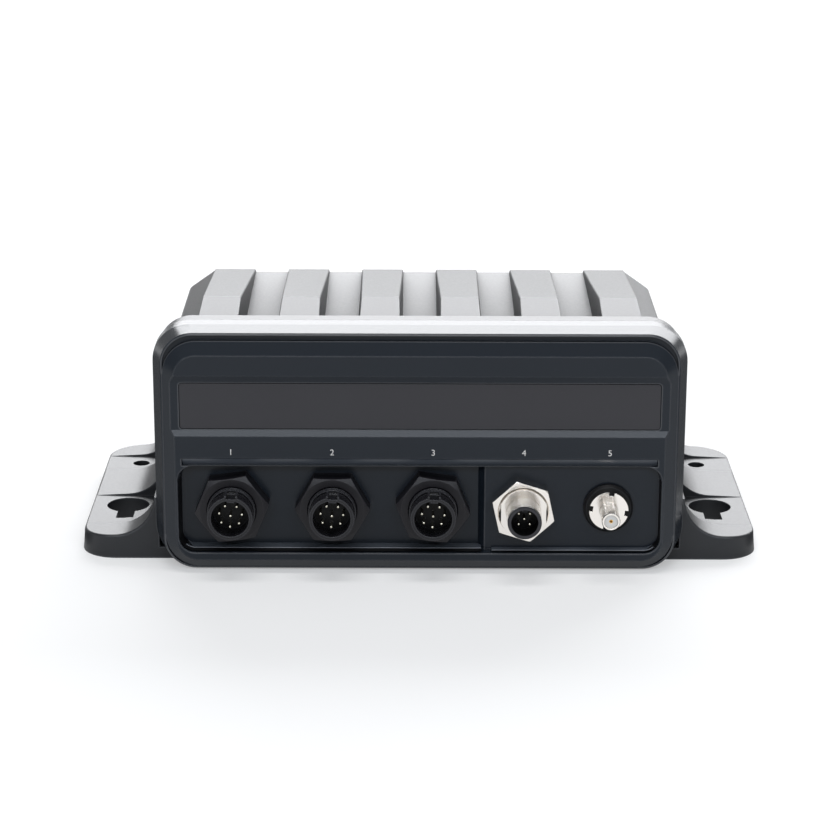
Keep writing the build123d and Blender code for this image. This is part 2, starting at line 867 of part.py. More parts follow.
    # Ground terminal's boss and the holes in the back wall.
    with BuildSketch(facing(chassis_inner_back_y + chassis_wall / 2)):
        with Locations((ground_x, ground_z)):
            Circle(ground_boss_radius)
    extrude(amount=ground_boss_length + chassis_wall / 2)
    with BuildSketch(facing(chassis_back_y)):
        with Locations((ground_x, ground_z)):
            Circle(m4_radius + thread_room)
    extrude(amount=ground_screw_length - ground_washer_height + hole_end_room, mode=Mode.SUBTRACT)
    with BuildSketch(facing(chassis_back_y)):
        with Locations((antenna_x, antenna_z)):
            Circle(antenna_tail_radius + close_fit)
            with GridLocations(antenna_screw_spacing, antenna_screw_spacing, 2, 2):
                Circle(m3_radius + thread_room)
        with Locations(*[(x, gland_z) for x in gland_xs]):
            Circle(gland_thread_radius + close_fit)
    extrude(amount=chassis_wall, mode=Mode.SUBTRACT)
finish(chassis.part, "chassis")

with BuildPart() as panel_seal:
    with BuildSketch(facing(joint_y + panel_seal_depth)):
        seal_ring()
    extrude(amount=panel_seal_depth)
finish(panel_seal.part, "panel_seal")


# ---- Base with wings ----
with BuildPart() as base:
    base_length = chassis_back_y - base_front_y
    base_mid_y = (chassis_back_y + base_front_y) / 2
    with BuildSketch(Plane.XY):
        with Locations((0, base_mid_y)):
            RectangleRounded(wing_span, base_length, wing_corner)
    extrude(amount=root_height, taper=wing_draft)
    # Section across the width: wing top rising gently into a large hollow round at the body.
    with BuildSketch(facing(chassis_back_y)) as wing_section:
        mirrored_face([
            (wing_half_span, 0),
            (wing_half_span, wing_thickness),
            (root_half_width, wing_root_z),
            (root_half_width, root_height),
        ])
        fillet(wing_section.vertices().group_by(Axis.Y)[-2], radius=root_radius)
    extrude(amount=base_length, mode=Mode.INTERSECT)
    wing_rims = [
        edge for edge in base.edges()
        if edge.bounding_box().min.Z > wing_thickness - wing_edge_round
        and abs(edge.center().X) > root_half_width
        and edge.length < base_length - 2 * wing_corner + wing_edge_round
    ]
    fillet(wing_rims, radius=wing_edge_round)

    # Space for the chassis foot, and for the front panel ahead of it.
    foot_room = foot_half_width + sliding_gap
    with BuildSketch(Plane.XY.offset(base_floor)):
        with Locations((0, base_mid_y)):
            Rectangle(2 * foot_room, base_length)
    extrude(amount=root_height, mode=Mode.SUBTRACT)
    with BuildSketch(facing(joint_y + sliding_gap)):
        outline(
            panel_half_width + panel_gap,
            panel_bottom - panel_gap,
            panel_top + panel_gap,
            panel_corner + panel_gap,
        )
        with Locations((0, 0)):
            Rectangle(2 * toe_half_width, panel_height)
    extrude(amount=wing_lead + sliding_gap, mode=Mode.SUBTRACT)
    with BuildSketch(Plane.XY.offset(root_height - lip_drop)):
        with Locations((0, base_mid_y)):
            Rectangle(wing_span, base_length)
    extrude(amount=root_height, mode=Mode.SUBTRACT)

    # Flat spots round the holes, then the keyholes and the round holes themselves.
    key_front_y = keyhole_y - slot_reach - key_spot_front
    key_back_y = keyhole_y + keyhole_radius + key_spot_back
    spots = (
        (key_front_y, key_back_y),
        (rear_hole_y - rear_spot_reach, rear_hole_y + rear_spot_reach),
    )
    spot_width = wing_half_span - spot_x
    with BuildSketch(Plane.XY.offset(wing_thickness)):
        for front, back in spots:
            with Locations(*[(side * (spot_x + spot_width / 2), (front + back) / 2) for side in SIDES]):
                Rectangle(spot_width, back - front)
    extrude(amount=root_height, mode=Mode.SUBTRACT)
    with BuildSketch(Plane.XY):
        with Locations((-hole_x, keyhole_y), (hole_x, keyhole_y)):
            Circle(keyhole_radius)
            Rectangle(slot_width, slot_reach, align=(Align.CENTER, Align.MAX))
        with Locations((-hole_x, rear_hole_y), (hole_x, rear_hole_y)):
            Circle(rear_hole_radius)
    extrude(amount=root_height, mode=Mode.SUBTRACT)

    # Standoffs for the main board and the countersunk screw holes.
    with BuildSketch(Plane.XY.offset(base_floor / 2)):
        with Locations(*board_screw_spots):
            Circle(standoff_radius)
    extrude(amount=main_board_z - base_floor / 2)
    with BuildSketch(Plane.XY.offset(main_board_z)):
        with Locations(*board_screw_spots):
            Circle(m3_radius + thread_room)
    extrude(amount=-(board_screw_bite + hole_end_room), mode=Mode.SUBTRACT)
    with BuildSketch(Plane.XY):
        with Locations(*base_screw_spots):
            Circle(m4_radius + free_hole_room)
    extrude(amount=base_floor, mode=Mode.SUBTRACT)
    with Locations(*base_screw_spots):
        Cone(
            m4_sunk_radius + free_hole_room,
            m4_radius + free_hole_room,
            m4_sunk_height,
            align=ABOVE,
            mode=Mode.SUBTRACT,
        )
finish(base.part, "base")

with BuildPart() as base_seal:
    ring_half_width = foot_half_width - base_seal_inset
    ring_front_y = joint_y + base_seal_inset
    ring_back_y = chassis_back_y - base_seal_inset
    with BuildSketch(Plane.XY.offset(base_floor)):
        with Locations((0, (ring_front_y + ring_back_y) / 2)):
            Rectangle(2 * ring_half_width, ring_back_y - ring_front_y)
            Rectangle(
                2 * (ring_half_width - base_seal_width),
                ring_back_y - ring_front_y - 2 * base_seal_width,
                mode=Mode.SUBTRACT,
            )
    extrude(amount=seal_height)
finish(base_seal.part, "base_seal")

with BuildPart() as base_screws:
    with Locations(*[Plane(origin=(x, y, 0), z_dir=(0, 0, -1)) for x, y in base_screw_spots]):
        Cone(m4_radius, m4_sunk_radius, m4_sunk_height, align=BELOW)
        Cylinder(m4_radius, base_floor + base_screw_bite, align=BELOW)
        cross_recess(m4_sunk_radius, 0)
finish(base_screws.part, "base_screws")

with BuildPart() as panel_screws:
    with Locations(*[rear_station(x, z, lug_back_y) for x, z in panel_screw_spots]):
        pan_screw(m3_radius, lug_thickness + panel_screw_bite, m3_head_radius, m3_head_height)
finish(panel_screws.part, "panel_screws")


# ---- Microphone connectors ----
for number, (x, turn) in enumerate(zip(mic_xs, mic_turns), start=1):
    station = front_station(x, left_floor_y)
    thread_end = mic_nut_height + mic_thread_turns * mic_thread_pitch
    neck_start = thread_end + mic_thread_rim
    insert_face = mic_reach - mic_bore_depth

    with BuildPart(station) as mic_shell:
        disc(mic_tail_radius, -left_tail, flange_front)
        disc(mic_flange_radius, flange_front - mic_flange_height, flange_front)
        disc(mic_thread_radius, flange_front, mic_nut_height)
        disc(mic_thread_radius - mic_thread_depth, mic_nut_height, thread_end)
        thread_ridges(mic_thread_radius, mic_thread_pitch, mic_thread_turns, thread_end)
        disc(mic_thread_radius, thread_end, neck_start)
        disc(mic_neck_radius, neck_start, neck_start + mic_neck_length)
        disc(mic_barrel_radius, neck_start + mic_neck_length, mic_reach)
        disc(mic_bore_radius + thread_room, -left_tail, mic_reach, mode=Mode.SUBTRACT)
        with Locations(Location((0, 0, mic_reach), (0, 0, mic_key_turn))):
            with Locations((0, mic_barrel_radius - mic_key_depth, 0)):
                Box(
                    mic_key_width,
                    2 * mic_key_depth,
                    mic_key_length,
                    align=(Align.CENTER, Align.MIN, Align.MAX),
                    mode=Mode.SUBTRACT,
                )
            with Locations((0, mic_bore_radius - mic_inner_key_height, 0)):
                Box(
                    mic_inner_key_width,
                    mic_inner_key_height + thread_room + mic_key_wall / 2,
                    mic_bore_depth - close_fit,
                    align=(Align.CENTER, Align.MIN, Align.MAX),
                )
    finish(mic_shell.part, f"mic_shell_{number}")

    with BuildPart(station) as mic_nut:
        hexagon(mic_nut_size, 0, mic_nut_height, mic_thread_radius + thread_room, turn)
        lead_in(mic_thread_radius + thread_room, mic_nut_height)
    finish(mic_nut.part, f"mic_nut_{number}")

    with BuildPart(station) as mic_insert:
        disc(mic_bore_radius, -left_tail, insert_face)
        pegs(mic_pin_spots, mic_pin_radius + pin_room, -left_tail, insert_face, mode=Mode.SUBTRACT)
    finish(mic_insert.part, f"mic_insert_{number}")

    with BuildPart(station) as mic_pins:
        pegs(
            mic_pin_spots,
            mic_pin_radius,
            -(left_tail + board_thickness + pin_tail),
            insert_face + mic_pin_reach,
        )
        fillet(mic_pins.edges().group_by(Axis.Y)[0], radius=pin_tip_round)
    finish(mic_pins.part, f"mic_pins_{number}")

with BuildPart(*[front_station(x, left_floor_y) for x in mic_xs]) as mic_seals:
    disc(mic_flange_radius, flange_front, -recess_wall)
    disc(mic_thread_radius + close_fit, flange_front, -recess_wall, mode=Mode.SUBTRACT)
finish(mic_seals.part, "mic_seals")


# ---- Network connector ----
network_station = front_station(network_x, right_floor_y)
network_body_end = network_nut_height + network_body_reach
network_metal_end = network_reach - network_rim_length
network_insert_face = network_reach - network_bore_depth

with BuildPart(network_station) as network_shell:
    disc(network_tail_radius, -right_tail, flange_front)
    disc(network_flange_radius, flange_front - network_flange_height, flange_front)
    disc(network_body_radius, flange_front, network_body_end)
    for side in SIDES:
        with Locations((side * (network_body_flat + network_body_radius / 2), 0)):
            Box(
                network_body_radius,
                2 * network_body_radius,
                network_body_end,
                align=ABOVE,
                mode=Mode.SUBTRACT,
            )
    disc(network_thread_radius - network_thread_depth, network_body_end, network_metal_end)
    thread_ridges(network_thread_radius, network_thread_pitch, network_thread_turns, network_metal_end)
    disc(network_bore_radius + thread_room, -right_tail, network_metal_end, mode=Mode.SUBTRACT)
finish(network_shell.part, "network_shell")

with BuildPart(network_station) as network_nut:
    hexagon(
        network_nut_size,
        0,
        network_nut_height,
        network_body_radius + thread_room,
        network_nut_turn,
        network_nut_size / 2 / cos(radians(30)) - network_nut_corner,
    )
    lead_in(network_body_radius + thread_room, network_nut_height)
finish(network_nut.part, "network_nut")

with BuildPart(network_station) as network_seal:
    disc(network_flange_radius, flange_front, -recess_wall)
    disc(network_body_radius + close_fit, flange_front, -recess_wall, mode=Mode.SUBTRACT)
finish(network_seal.part, "network_seal")

with BuildPart(network_station) as network_insert:
    disc(network_bore_radius, -right_tail, network_reach)
    disc(network_rim_radius, network_metal_end, network_reach)
    network_well_radius = network_bore_radius - network_insert_wall
    disc(network_well_radius, network_insert_face, network_reach, mode=Mode.SUBTRACT)
    with Locations((0, network_well_radius - network_key_height, network_insert_face)):
        Box(
            network_key_width,
            network_key_height + network_insert_wall / 2,
            network_bore_depth,
            align=(Align.CENTER, Align.MIN, Align.MIN),
        )
    pegs(
        network_pin_spots,
        network_pin_radius + pin_room,
        -right_tail,
        network_insert_face,
        mode=Mode.SUBTRACT,
    )
finish(network_insert.part, "network_insert")

with BuildPart(network_station) as network_pins:
    pegs(
        network_pin_spots,
        network_pin_radius,
        -(right_tail + board_thickness + pin_tail),
        network_insert_face + network_pin_reach,
    )
    fillet(network_pins.edges().group_by(Axis.Y)[0], radius=pin_tip_round)
finish(network_pins.part, "network_pins")


# ---- Positioning-antenna jack ----
jack_station = front_station(jack_x, right_floor_y)
jack_nut_top = jack_washer_height + jack_nut_height
jack_tail_end = -right_tail

with BuildPart(jack_station) as jack_shell:
    disc(jack_tail_radius, jack_tail_end, -recess_wall)
    disc(jack_flange_radius, -recess_wall - jack_flange_height, -recess_wall)
    disc(jack_thread_radius, -recess_wall, jack_nut_top)
    disc(jack_thread_radius - jack_thread_depth, jack_nut_top, jack_reach)
    with Locations((0, 0, jack_reach - jack_rim_length)):
        Cone(jack_thread_radius, jack_thread_radius - jack_end_bevel, jack_rim_length, align=ABOVE)
    thread_ridges(
        jack_thread_radius,
        jack_thread_pitch,
        jack_thread_turns,
        jack_reach - jack_rim_length,
    )
    for side in SIDES:
        with Locations((0, side * (jack_flat + jack_thread_radius / 2), jack_nut_top)):
            Box(
                2 * jack_thread_radius,
                jack_thread_radius,
                jack_reach - jack_rim_length - jack_nut_top,
                align=ABOVE,
                mode=Mode.SUBTRACT,
            )
    disc(jack_bore_radius + thread_room, jack_tail_end, jack_reach, mode=Mode.SUBTRACT)
finish(jack_shell.part, "jack_shell")

with BuildPart(jack_station) as jack_washer:
    disc(jack_washer_radius, 0, jack_washer_height)
    chamfer(jack_washer.edges().group_by(Axis.Y)[0], length=jack_washer_bevel)
    disc(jack_thread_radius + close_fit, 0, jack_washer_height, mode=Mode.SUBTRACT)
finish(jack_washer.part, "jack_washer")

with BuildPart(jack_station) as jack_ring_nut:
    disc(jack_nut_radius, jack_washer_height, jack_nut_top)
    disc(jack_thread_radius + thread_room, jack_washer_height, jack_nut_top, mode=Mode.SUBTRACT)
    with Locations((0, 0, jack_washer_height)):
        slot_circle = jack_nut_radius - jack_slot_depth
        with PolarLocations(slot_circle, jack_nut_slots, start_angle=jack_nut_turn):
            Box(
                2 * jack_slot_depth,
                jack_slot_width,
                jack_nut_height,
                align=(Align.MIN, Align.CENTER, Align.MIN),
                mode=Mode.SUBTRACT,
            )
finish(jack_ring_nut.part, "jack_ring_nut")

with BuildPart(jack_station) as jack_insulator:
    disc(jack_bore_radius, jack_tail_end, jack_reach - jack_dielectric_drop)
    disc(
        jack_contact_radius + pin_room,
        jack_tail_end,
        jack_reach - jack_dielectric_drop,
        mode=Mode.SUBTRACT,
    )
finish(jack_insulator.part, "jack_insulator")

with BuildPart(jack_station) as jack_contact:
    contact_end = jack_reach - jack_dielectric_drop
    disc(jack_contact_radius, jack_tail_end - board_thickness - pin_tail, contact_end)
    disc(jack_socket_radius, contact_end - jack_socket_depth, contact_end, mode=Mode.SUBTRACT)
finish(jack_contact.part, "jack_contact")


# ---- Rear antenna socket ----
antenna_station = rear_station(antenna_x, antenna_z)
antenna_floor = antenna_reach - antenna_bore_depth
antenna_tail_end = -antenna_tail_length
antenna_sleeve_end = antenna_reach - antenna_sleeve_drop

with BuildPart(antenna_station) as antenna_socket:
    with BuildSketch(antenna_station):
        RectangleRounded(antenna_flange_size, antenna_flange_size, antenna_flange_corner)
    extrude(amount=antenna_flange_height)
    disc(antenna_tail_radius, antenna_tail_end, 0)
    disc(antenna_thread_radius - antenna_thread_depth, antenna_flange_height, antenna_reach)
    thread_ridges(antenna_thread_radius, antenna_thread_pitch, antenna_thread_turns, antenna_reach)
    disc(antenna_bore_radius, antenna_floor, antenna_reach, mode=Mode.SUBTRACT)
    disc(antenna_core_radius + thread_room, antenna_tail_end, antenna_reach, mode=Mode.SUBTRACT)
    with GridLocations(antenna_screw_spacing, antenna_screw_spacing, 2, 2):
        Cylinder(
            m3_radius + close_fit,
            antenna_flange_height,
            align=ABOVE,
            mode=Mode.SUBTRACT,
        )
finish(antenna_socket.part, "antenna_socket")

with BuildPart(antenna_station) as antenna_insulator:
    disc(antenna_core_radius, antenna_tail_end, antenna_floor)
    disc(antenna_sleeve_radius, antenna_floor, antenna_sleeve_end)
    disc(
        antenna_contact_radius + pin_room,
        antenna_tail_end,
        antenna_sleeve_end,
        mode=Mode.SUBTRACT,
    )
finish(antenna_insulator.part, "antenna_insulator")

with BuildPart(antenna_station) as antenna_contact:
    disc(antenna_contact_radius, antenna_tail_end - antenna_contact_tail, antenna_sleeve_end)
    disc(antenna_contact_socket, antenna_floor, antenna_sleeve_end, mode=Mode.SUBTRACT)
finish(antenna_contact.part, "antenna_contact")

half_spacing = antenna_screw_spacing / 2
antenna_flange_y = chassis_back_y + antenna_flange_height
antenna_screw_planes = [
    rear_station(antenna_x + i * half_spacing, antenna_z + k * half_spacing, antenna_flange_y)
    for i in SIDES
    for k in SIDES
]
with BuildPart() as antenna_screws:
    with Locations(*antenna_screw_planes):
        pan_screw(m3_radius, antenna_screw_length, m3_head_radius, m3_head_height)
finish(antenna_screws.part, "antenna_screws")


# ---- Cable glands ----
for gland_name, x in zip(gland_names, gland_xs):
    gland_station = rear_station(x, gland_z)
    neck_end = gland_collar_height + gland_neck_reach
    cap_end = gland_collar_height + gland_cap_height
    seal_start = gland_collar_height + gland_seal_sink
    seal_end = seal_start + gland_seal_length

    with BuildPart(gland_station) as gland_body:
        hexagon(gland_collar_size, 0, gland_collar_height, gland_bore_radius)
        disc(gland_thread_radius, -gland_stub_length, 0)
        disc(gland_neck_radius, gland_collar_height, neck_end)
        disc(gland_seal_radius + thread_room, seal_start, neck_end, mode=Mode.SUBTRACT)
        disc(gland_bore_radius, -gland_stub_length, seal_start, mode=Mode.SUBTRACT)
    finish(gland_body.part, gland_name)

    with BuildPart(gland_station) as gland_cap:
        hexagon(gland_cap_size, gland_collar_height, gland_cap_height, gland_mouth_radius)
        with Locations((0, 0, cap_end)):
            Cone(
                gland_cap_size / 2 - nut_face_margin,
                gland_mouth_radius + gland_seal_sink,
                gland_dome_height,
                align=ABOVE,
            )
        disc(gland_neck_radius + thread_room, gland_collar_height, seal_end, mode=Mode.SUBTRACT)
        disc(gland_mouth_radius, seal_end, cap_end + gland_dome_height, mode=Mode.SUBTRACT)
    finish(gland_cap.part, f"{gland_name}_cap")

    with BuildPart(gland_station) as gland_seal:
        disc(gland_seal_radius, seal_start, seal_end)
        disc(gland_cord_radius, seal_start, seal_end, mode=Mode.SUBTRACT)
    finish(gland_seal.part, f"{gland_name}_seal")


# ---- Ground terminal ----
ground_station = rear_station(ground_x, ground_z)
with BuildPart(ground_station) as ground_washer:
    disc(ground_washer_radius, 0, ground_washer_height)
    disc(m4_radius + close_fit, 0, ground_washer_height, mode=Mode.SUBTRACT)
finish(ground_washer.part, "ground_washer")

with BuildPart() as ground_screw:
    with Locations(rear_station(ground_x, ground_z, chassis_back_y + ground_washer_height)):
        pan_screw(m4_radius, ground_screw_length, m4_head_radius, m4_head_height)
finish(ground_screw.part, "ground_screw")


# ---- Circuit boards ----
with BuildPart() as main_board:
    with BuildSketch(Plane.XY.offset(main_board_z)):
        with Locations((0, main_board_mid_y)):
            Rectangle(main_board_width, main_board_length)
        with Locations(*board_screw_spots):
            Circle(m3_radius + free_hole_room, mode=Mode.SUBTRACT)
        with Locations(*base_screw_spots):
            Circle(base_column_radius + board_gap, mode=Mode.SUBTRACT)
    extrude(amount=board_thickness)
finish(main_board.part, "main_board")

with BuildPart() as main_board_screws:
    with Locations(*[(x, y, main_board_top_z) for x, y in board_screw_spots]):
        pan_screw(m3_radius, board_thickness + board_screw_bite, m3_head_radius, m3_head_height)
finish(main_board_screws.part, "main_board_screws")

with BuildPart() as amplifier_board:
    with BuildSketch(Plane.XY.offset(amplifier_board_z)):
        with Locations((amplifier_board_x, amplifier_mid_y)):
            Rectangle(amplifier_board_width, amplifier_board_length)
            with GridLocations(amplifier_hole_x, amplifier_hole_y, 2, 2):
                Circle(m3_radius + free_hole_room, mode=Mode.SUBTRACT)
    extrude(amount=board_thickness)
finish(amplifier_board.part, "amplifier_board")

amplifier_board_middle = (amplifier_board_x, amplifier_mid_y, amplifier_board_z)
amplifier_underside = Plane(origin=amplifier_board_middle, z_dir=(0, 0, -1))
with BuildPart(amplifier_underside) as amplifier_board_screws:
    with GridLocations(amplifier_hole_x, amplifier_hole_y, 2, 2):
        pan_screw(m3_radius, board_thickness + board_screw_bite, m3_head_radius, m3_head_height)
finish(amplifier_board_screws.part, "amplifier_board_screws")

with BuildPart() as connector_board:
    pin_hole_radius = mic_pin_radius + pin_room
    with BuildSketch(facing(front_board_back_y)):
        with Locations((0, front_board_mid_z)):
            Rectangle(front_board_width, front_board_height)
        with Locations(*panel_screw_spots):
            Circle(panel_boss_radius + board_gap, mode=Mode.SUBTRACT)
        for x in mic_xs:
            with Locations(*[(x + px, connector_z + pz) for px, pz in mic_pin_spots]):
                Circle(pin_hole_radius, mode=Mode.SUBTRACT)
        with Locations(*[(network_x + px, connector_z + pz) for px, pz in network_pin_spots]):
            Circle(network_pin_radius + pin_room, mode=Mode.SUBTRACT)
        with Locations((jack_x, connector_z)):
            Circle(jack_contact_radius + pin_room, mode=Mode.SUBTRACT)
    extrude(amount=board_thickness)
finish(connector_board.part, "connector_board")


# ---- Parts on the boards ----
def board_block(x, y, width, length, height):
    """Plain block standing on the main board."""
    with Locations((x, y, main_board_top_z)):
        Box(width, length, height, align=ABOVE)


with BuildPart() as shield_can:
    board_block(shield_x, shield_y, shield_width, shield_length, shield_height)
    with Locations((shield_x, shield_y, main_board_top_z)):
        Box(
            shield_width - 2 * shield_wall,
            shield_length - 2 * shield_wall,
            shield_height - shield_wall,
            align=ABOVE,
            mode=Mode.SUBTRACT,
        )
finish(shield_can.part, "shield_can")

with BuildPart() as processor:
    board_block(processor_x, processor_y, processor_size, processor_size, processor_height)
finish(processor.part, "processor")

with BuildPart() as audio_amplifier:
    board_block(audio_x, audio_y, audio_width, audio_length, audio_height)
finish(audio_amplifier.part, "audio_amplifier")

with BuildPart() as antenna_relay:
    board_block(relay_x, relay_y, relay_width, relay_length, relay_height)
    chamfer(antenna_relay.edges().filter_by(Axis.Z), length=capacitor_bevel)
finish(antenna_relay.part, "antenna_relay")

with BuildPart() as filter_capacitors:
    capacitor_spots = [(x, capacitor_y) for x in capacitor_xs]
    pegs(capacitor_spots, capacitor_radius, main_board_top_z, main_board_top_z + capacitor_height)
    chamfer(filter_capacitors.edges().group_by(Axis.Z)[-1], length=capacitor_bevel)
finish(filter_capacitors.part, "filter_capacitors")

with BuildPart() as power_choke:
    with Locations((choke_x, choke_y, main_board_top_z + choke_wire_radius)):
        Torus(choke_radius, choke_wire_radius)
finish(power_choke.part, "power_choke")

with BuildPart() as amplifier_module:
    with Locations((amplifier_board_x, amplifier_y, amplifier_board_top_z)):
        Box(
            amplifier_width,
            amplifier_length,
            roof_z - thermal_pad_height - amplifier_board_top_z,
            align=ABOVE,
        )
finish(amplifier_module.part, "amplifier_module")

with BuildPart() as thermal_pad:
    with Locations((amplifier_board_x, amplifier_y, roof_z)):
        Box(amplifier_width, amplifier_length, thermal_pad_height, align=BELOW)
finish(thermal_pad.part, "thermal_pad")


# ---- Leads inside ----
# The ribbon's middle line seen from the side: out of one plug and down into the other.
with BuildLine() as ribbon_path:
    FilletPolyline(
        (front_board_back_y + ribbon_plug_depth - ribbon_hold, ribbon_front_z),
        (ribbon_back_y, ribbon_front_z),
        (ribbon_back_y, main_board_top_z + ribbon_plug_height - ribbon_hold),
        radius=ribbon_radius,
    )

with BuildPart() as ribbon_cable:
    with BuildSketch(Plane.YZ.offset(ribbon_x)):
        trace(ribbon_path.line, line_width=ribbon_thickness)
    extrude(amount=ribbon_width / 2, both=True)
finish(ribbon_cable.part, "ribbon_cable")

with BuildPart() as ribbon_plugs:
    plug_width = ribbon_width + 2 * ribbon_plug_wall
    with Locations((ribbon_x, front_board_back_y, ribbon_front_z)):
        Box(
            plug_width,
            ribbon_plug_depth,
            ribbon_plug_height,
            align=(Align.CENTER, Align.MIN, Align.CENTER),
        )
    board_block(ribbon_x, ribbon_back_y, plug_width, ribbon_plug_depth, ribbon_plug_height)
    with BuildSketch(Plane.YZ.offset(ribbon_x)):
        trace(ribbon_path.line, line_width=ribbon_thickness + 2 * pin_room)
    extrude(amount=ribbon_width / 2 + pin_room, both=True, mode=Mode.SUBTRACT)
finish(ribbon_plugs.part, "ribbon_plugs")

with BuildPart() as antenna_lead:
    lead_start_y = chassis_back_y - antenna_tail_length - antenna_contact_tail
    with BuildLine() as lead_path:
        FilletPolyline(
            (antenna_x, lead_start_y, antenna_z),
            (antenna_x, coax_foot_y, antenna_z),
            (antenna_x, coax_foot_y, amplifier_board_z),
            radius=coax_bend,
        )
    with BuildSketch(facing(lead_start_y)):
        with Locations((antenna_x, antenna_z)):
            Circle(coax_radius)
    sweep(path=lead_path.line)
finish(antenna_lead.part, "antenna_lead")
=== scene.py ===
import json
from math import cos, pi, radians, sin, tan

import bmesh
import bpy
from mathutils import Matrix, Vector


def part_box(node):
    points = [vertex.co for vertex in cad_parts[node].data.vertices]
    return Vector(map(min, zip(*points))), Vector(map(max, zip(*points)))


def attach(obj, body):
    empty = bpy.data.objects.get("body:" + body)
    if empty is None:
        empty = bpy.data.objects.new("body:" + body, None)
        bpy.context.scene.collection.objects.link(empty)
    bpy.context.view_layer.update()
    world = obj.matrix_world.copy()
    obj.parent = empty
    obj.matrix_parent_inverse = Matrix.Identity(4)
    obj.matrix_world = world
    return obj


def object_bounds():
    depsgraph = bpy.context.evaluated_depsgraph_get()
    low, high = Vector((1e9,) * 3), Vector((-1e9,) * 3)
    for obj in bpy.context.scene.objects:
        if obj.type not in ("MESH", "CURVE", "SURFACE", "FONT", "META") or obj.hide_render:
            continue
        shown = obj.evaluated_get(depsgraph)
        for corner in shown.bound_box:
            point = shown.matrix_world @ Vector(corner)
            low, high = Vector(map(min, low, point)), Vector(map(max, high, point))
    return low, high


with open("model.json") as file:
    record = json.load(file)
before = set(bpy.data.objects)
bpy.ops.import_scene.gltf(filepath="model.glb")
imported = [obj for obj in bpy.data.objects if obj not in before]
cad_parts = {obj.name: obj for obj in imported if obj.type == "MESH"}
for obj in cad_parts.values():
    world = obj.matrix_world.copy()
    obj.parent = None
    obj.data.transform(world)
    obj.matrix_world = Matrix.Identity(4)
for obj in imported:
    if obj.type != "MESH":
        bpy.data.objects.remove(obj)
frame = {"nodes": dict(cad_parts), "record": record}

MM = 0.001
BODY = "root"

cad_low, cad_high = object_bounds()

# ---- Camera; angles in degrees, lens and sensor in millimetres ----
CAMERA_PLACE = Vector((-3.2, -896.5, 317.0)) * MM
CAMERA_PITCH = 17.5
CAMERA_YAW = -0.22
CAMERA_ROLL = 0.24
CAMERA_LENS = 111.6
CAMERA_SENSOR = 36.0

# ---- Studio; lengths in metres where MM isn't written ----
WHITE = (1.0, 1.0, 1.0)
FLOOR_HALF_SIZE = 6.0
FLOOR_DROP = 0.05 * MM
FLOOR_COLOUR = (0.60, 0.60, 0.60)
# The floor's glow near the radio, and from where to where it grows to the far glow.
FLOOR_GLOW = 0.36
FAR_GLOW = 1.0
FAR_FLOOR = (0.7, 1.6)
SKY_AMBIENT = 0.25
SKY_MIRRORED = 0.4
SKY_SHOWN = 1.0
# name, place, width, height, brightness, colour
SOFTBOXES = (
    ("back_softbox", (0.30, 1.82, 1.09), 2.4, 1.5, 4.25, (0.97, 0.98, 1.0)),
    ("top_softbox", (0.0, -0.3, 1.25), 0.9, 0.28, 5.0, WHITE),
    ("front_softbox", (0.0, -1.45, 0.90), 2.6, 0.30, 5.8, (0.86, 0.92, 1.0)),
)
SOFTBOX_AIM = (0.0, 0.0, 0.05)
SOFTBOX_POWER = 4  # watts for a square metre of brightness 1
# Dark cards on the floor beside the radio, which only reflections see.
CARD_GAP = 4 * MM
CARD_WIDTH = 300 * MM
CARD_FRONT_Y = -45 * MM
CARD_BACK_Y = 420 * MM
CARD_HEIGHT = 1 * MM
CARD_COLOUR = (0.13, 0.13, 0.13)

# ---- Printed numbers on the strip over the connectors ----
PRINT_HEIGHT = 3.0 * MM
PRINT_DEPTH = 0.02 * MM
PRINT_Z = 43.5 * MM
CONNECTOR_NODES = ("mic_nut_1", "mic_nut_2", "mic_nut_3", "network_nut", "jack_washer")

# ---- Ribs beside the key groove of each microphone connector ----
MIC_NUMBERS = (1, 2, 3)
KEY_TURN = -3.0  # degrees
KEY_RIB_WIDTH = 0.7 * MM
KEY_RIB_LENGTH = 5.0 * MM
KEY_RIB_RADII = (7.2 * MM, 8.0 * MM)
KEY_RIB_X = 1.85 * MM

# ---- Connector recess: its wall, as in the solids, and the strips on it ----
RECESS_FACE_Y = -66.0 * MM
RECESS_DRAFT = 8.0  # degrees
CORNER_X = 76.1 * MM
CORNER_Z = 13.8 * MM
CORNER_RADIUS = 5.5 * MM
CORNER_STEP = 5  # degrees
STRIP_LIFT = 0.02 * MM
# name, side, inner end x, floor y, bead y
SILLS = (
    ("left", -1, 21.0 * MM, -60.0 * MM, -63.55 * MM),
    ("right", 1, 24.5 * MM, -62.7 * MM, -64.9 * MM),
)
SILL_TURN = 40  # degrees round the corner
BEAD_RADIUS = 0.17 * MM
# Black strip of painted shade: where it starts at the front, how far it turns round the corner and how
# high it climbs.
SHADE_STRIP_FRONT_Y = -65.75 * MM
SHADE_STRIP_TURN = 90  # degrees round the corner
SHADE_STRIP_RISE = 20 * MM
HOOD_HALF_WIDTH = 79.8 * MM
# y and z of the hood's slope, at its back and at its front
HOOD_SLOPE = ((-64.56 * MM, 38.8 * MM), (-65.89 * MM, 41.2 * MM))

# ---- Front ring of the network connector's insulation: outer and inner radius ----
RING_RADII = (5.5 * MM, 4.55 * MM)
RING_STEPS = 64

# ---- Shader groups ----
BEVEL_SAMPLES = 6
FORM_SAMPLES = 8
# How open a place is where a mask starts, and where it is full.
EDGE_OPENNESS = (0.99, 0.85)
SHELTER_OPENNESS = (1.0, 0.35)
EDGE_REACH = 1.6  # times the edge radius
GRAIN_DETAIL = 3.0
CLOUD_DETAIL = 4.0
NOISE_ROUGHNESS = 0.55
# Sockets of a Mix node that mixes colours.
MIX_FACTOR = 0
MIX_FIRST = 6
MIX_SECOND = 7
MIX_RESULT = 2


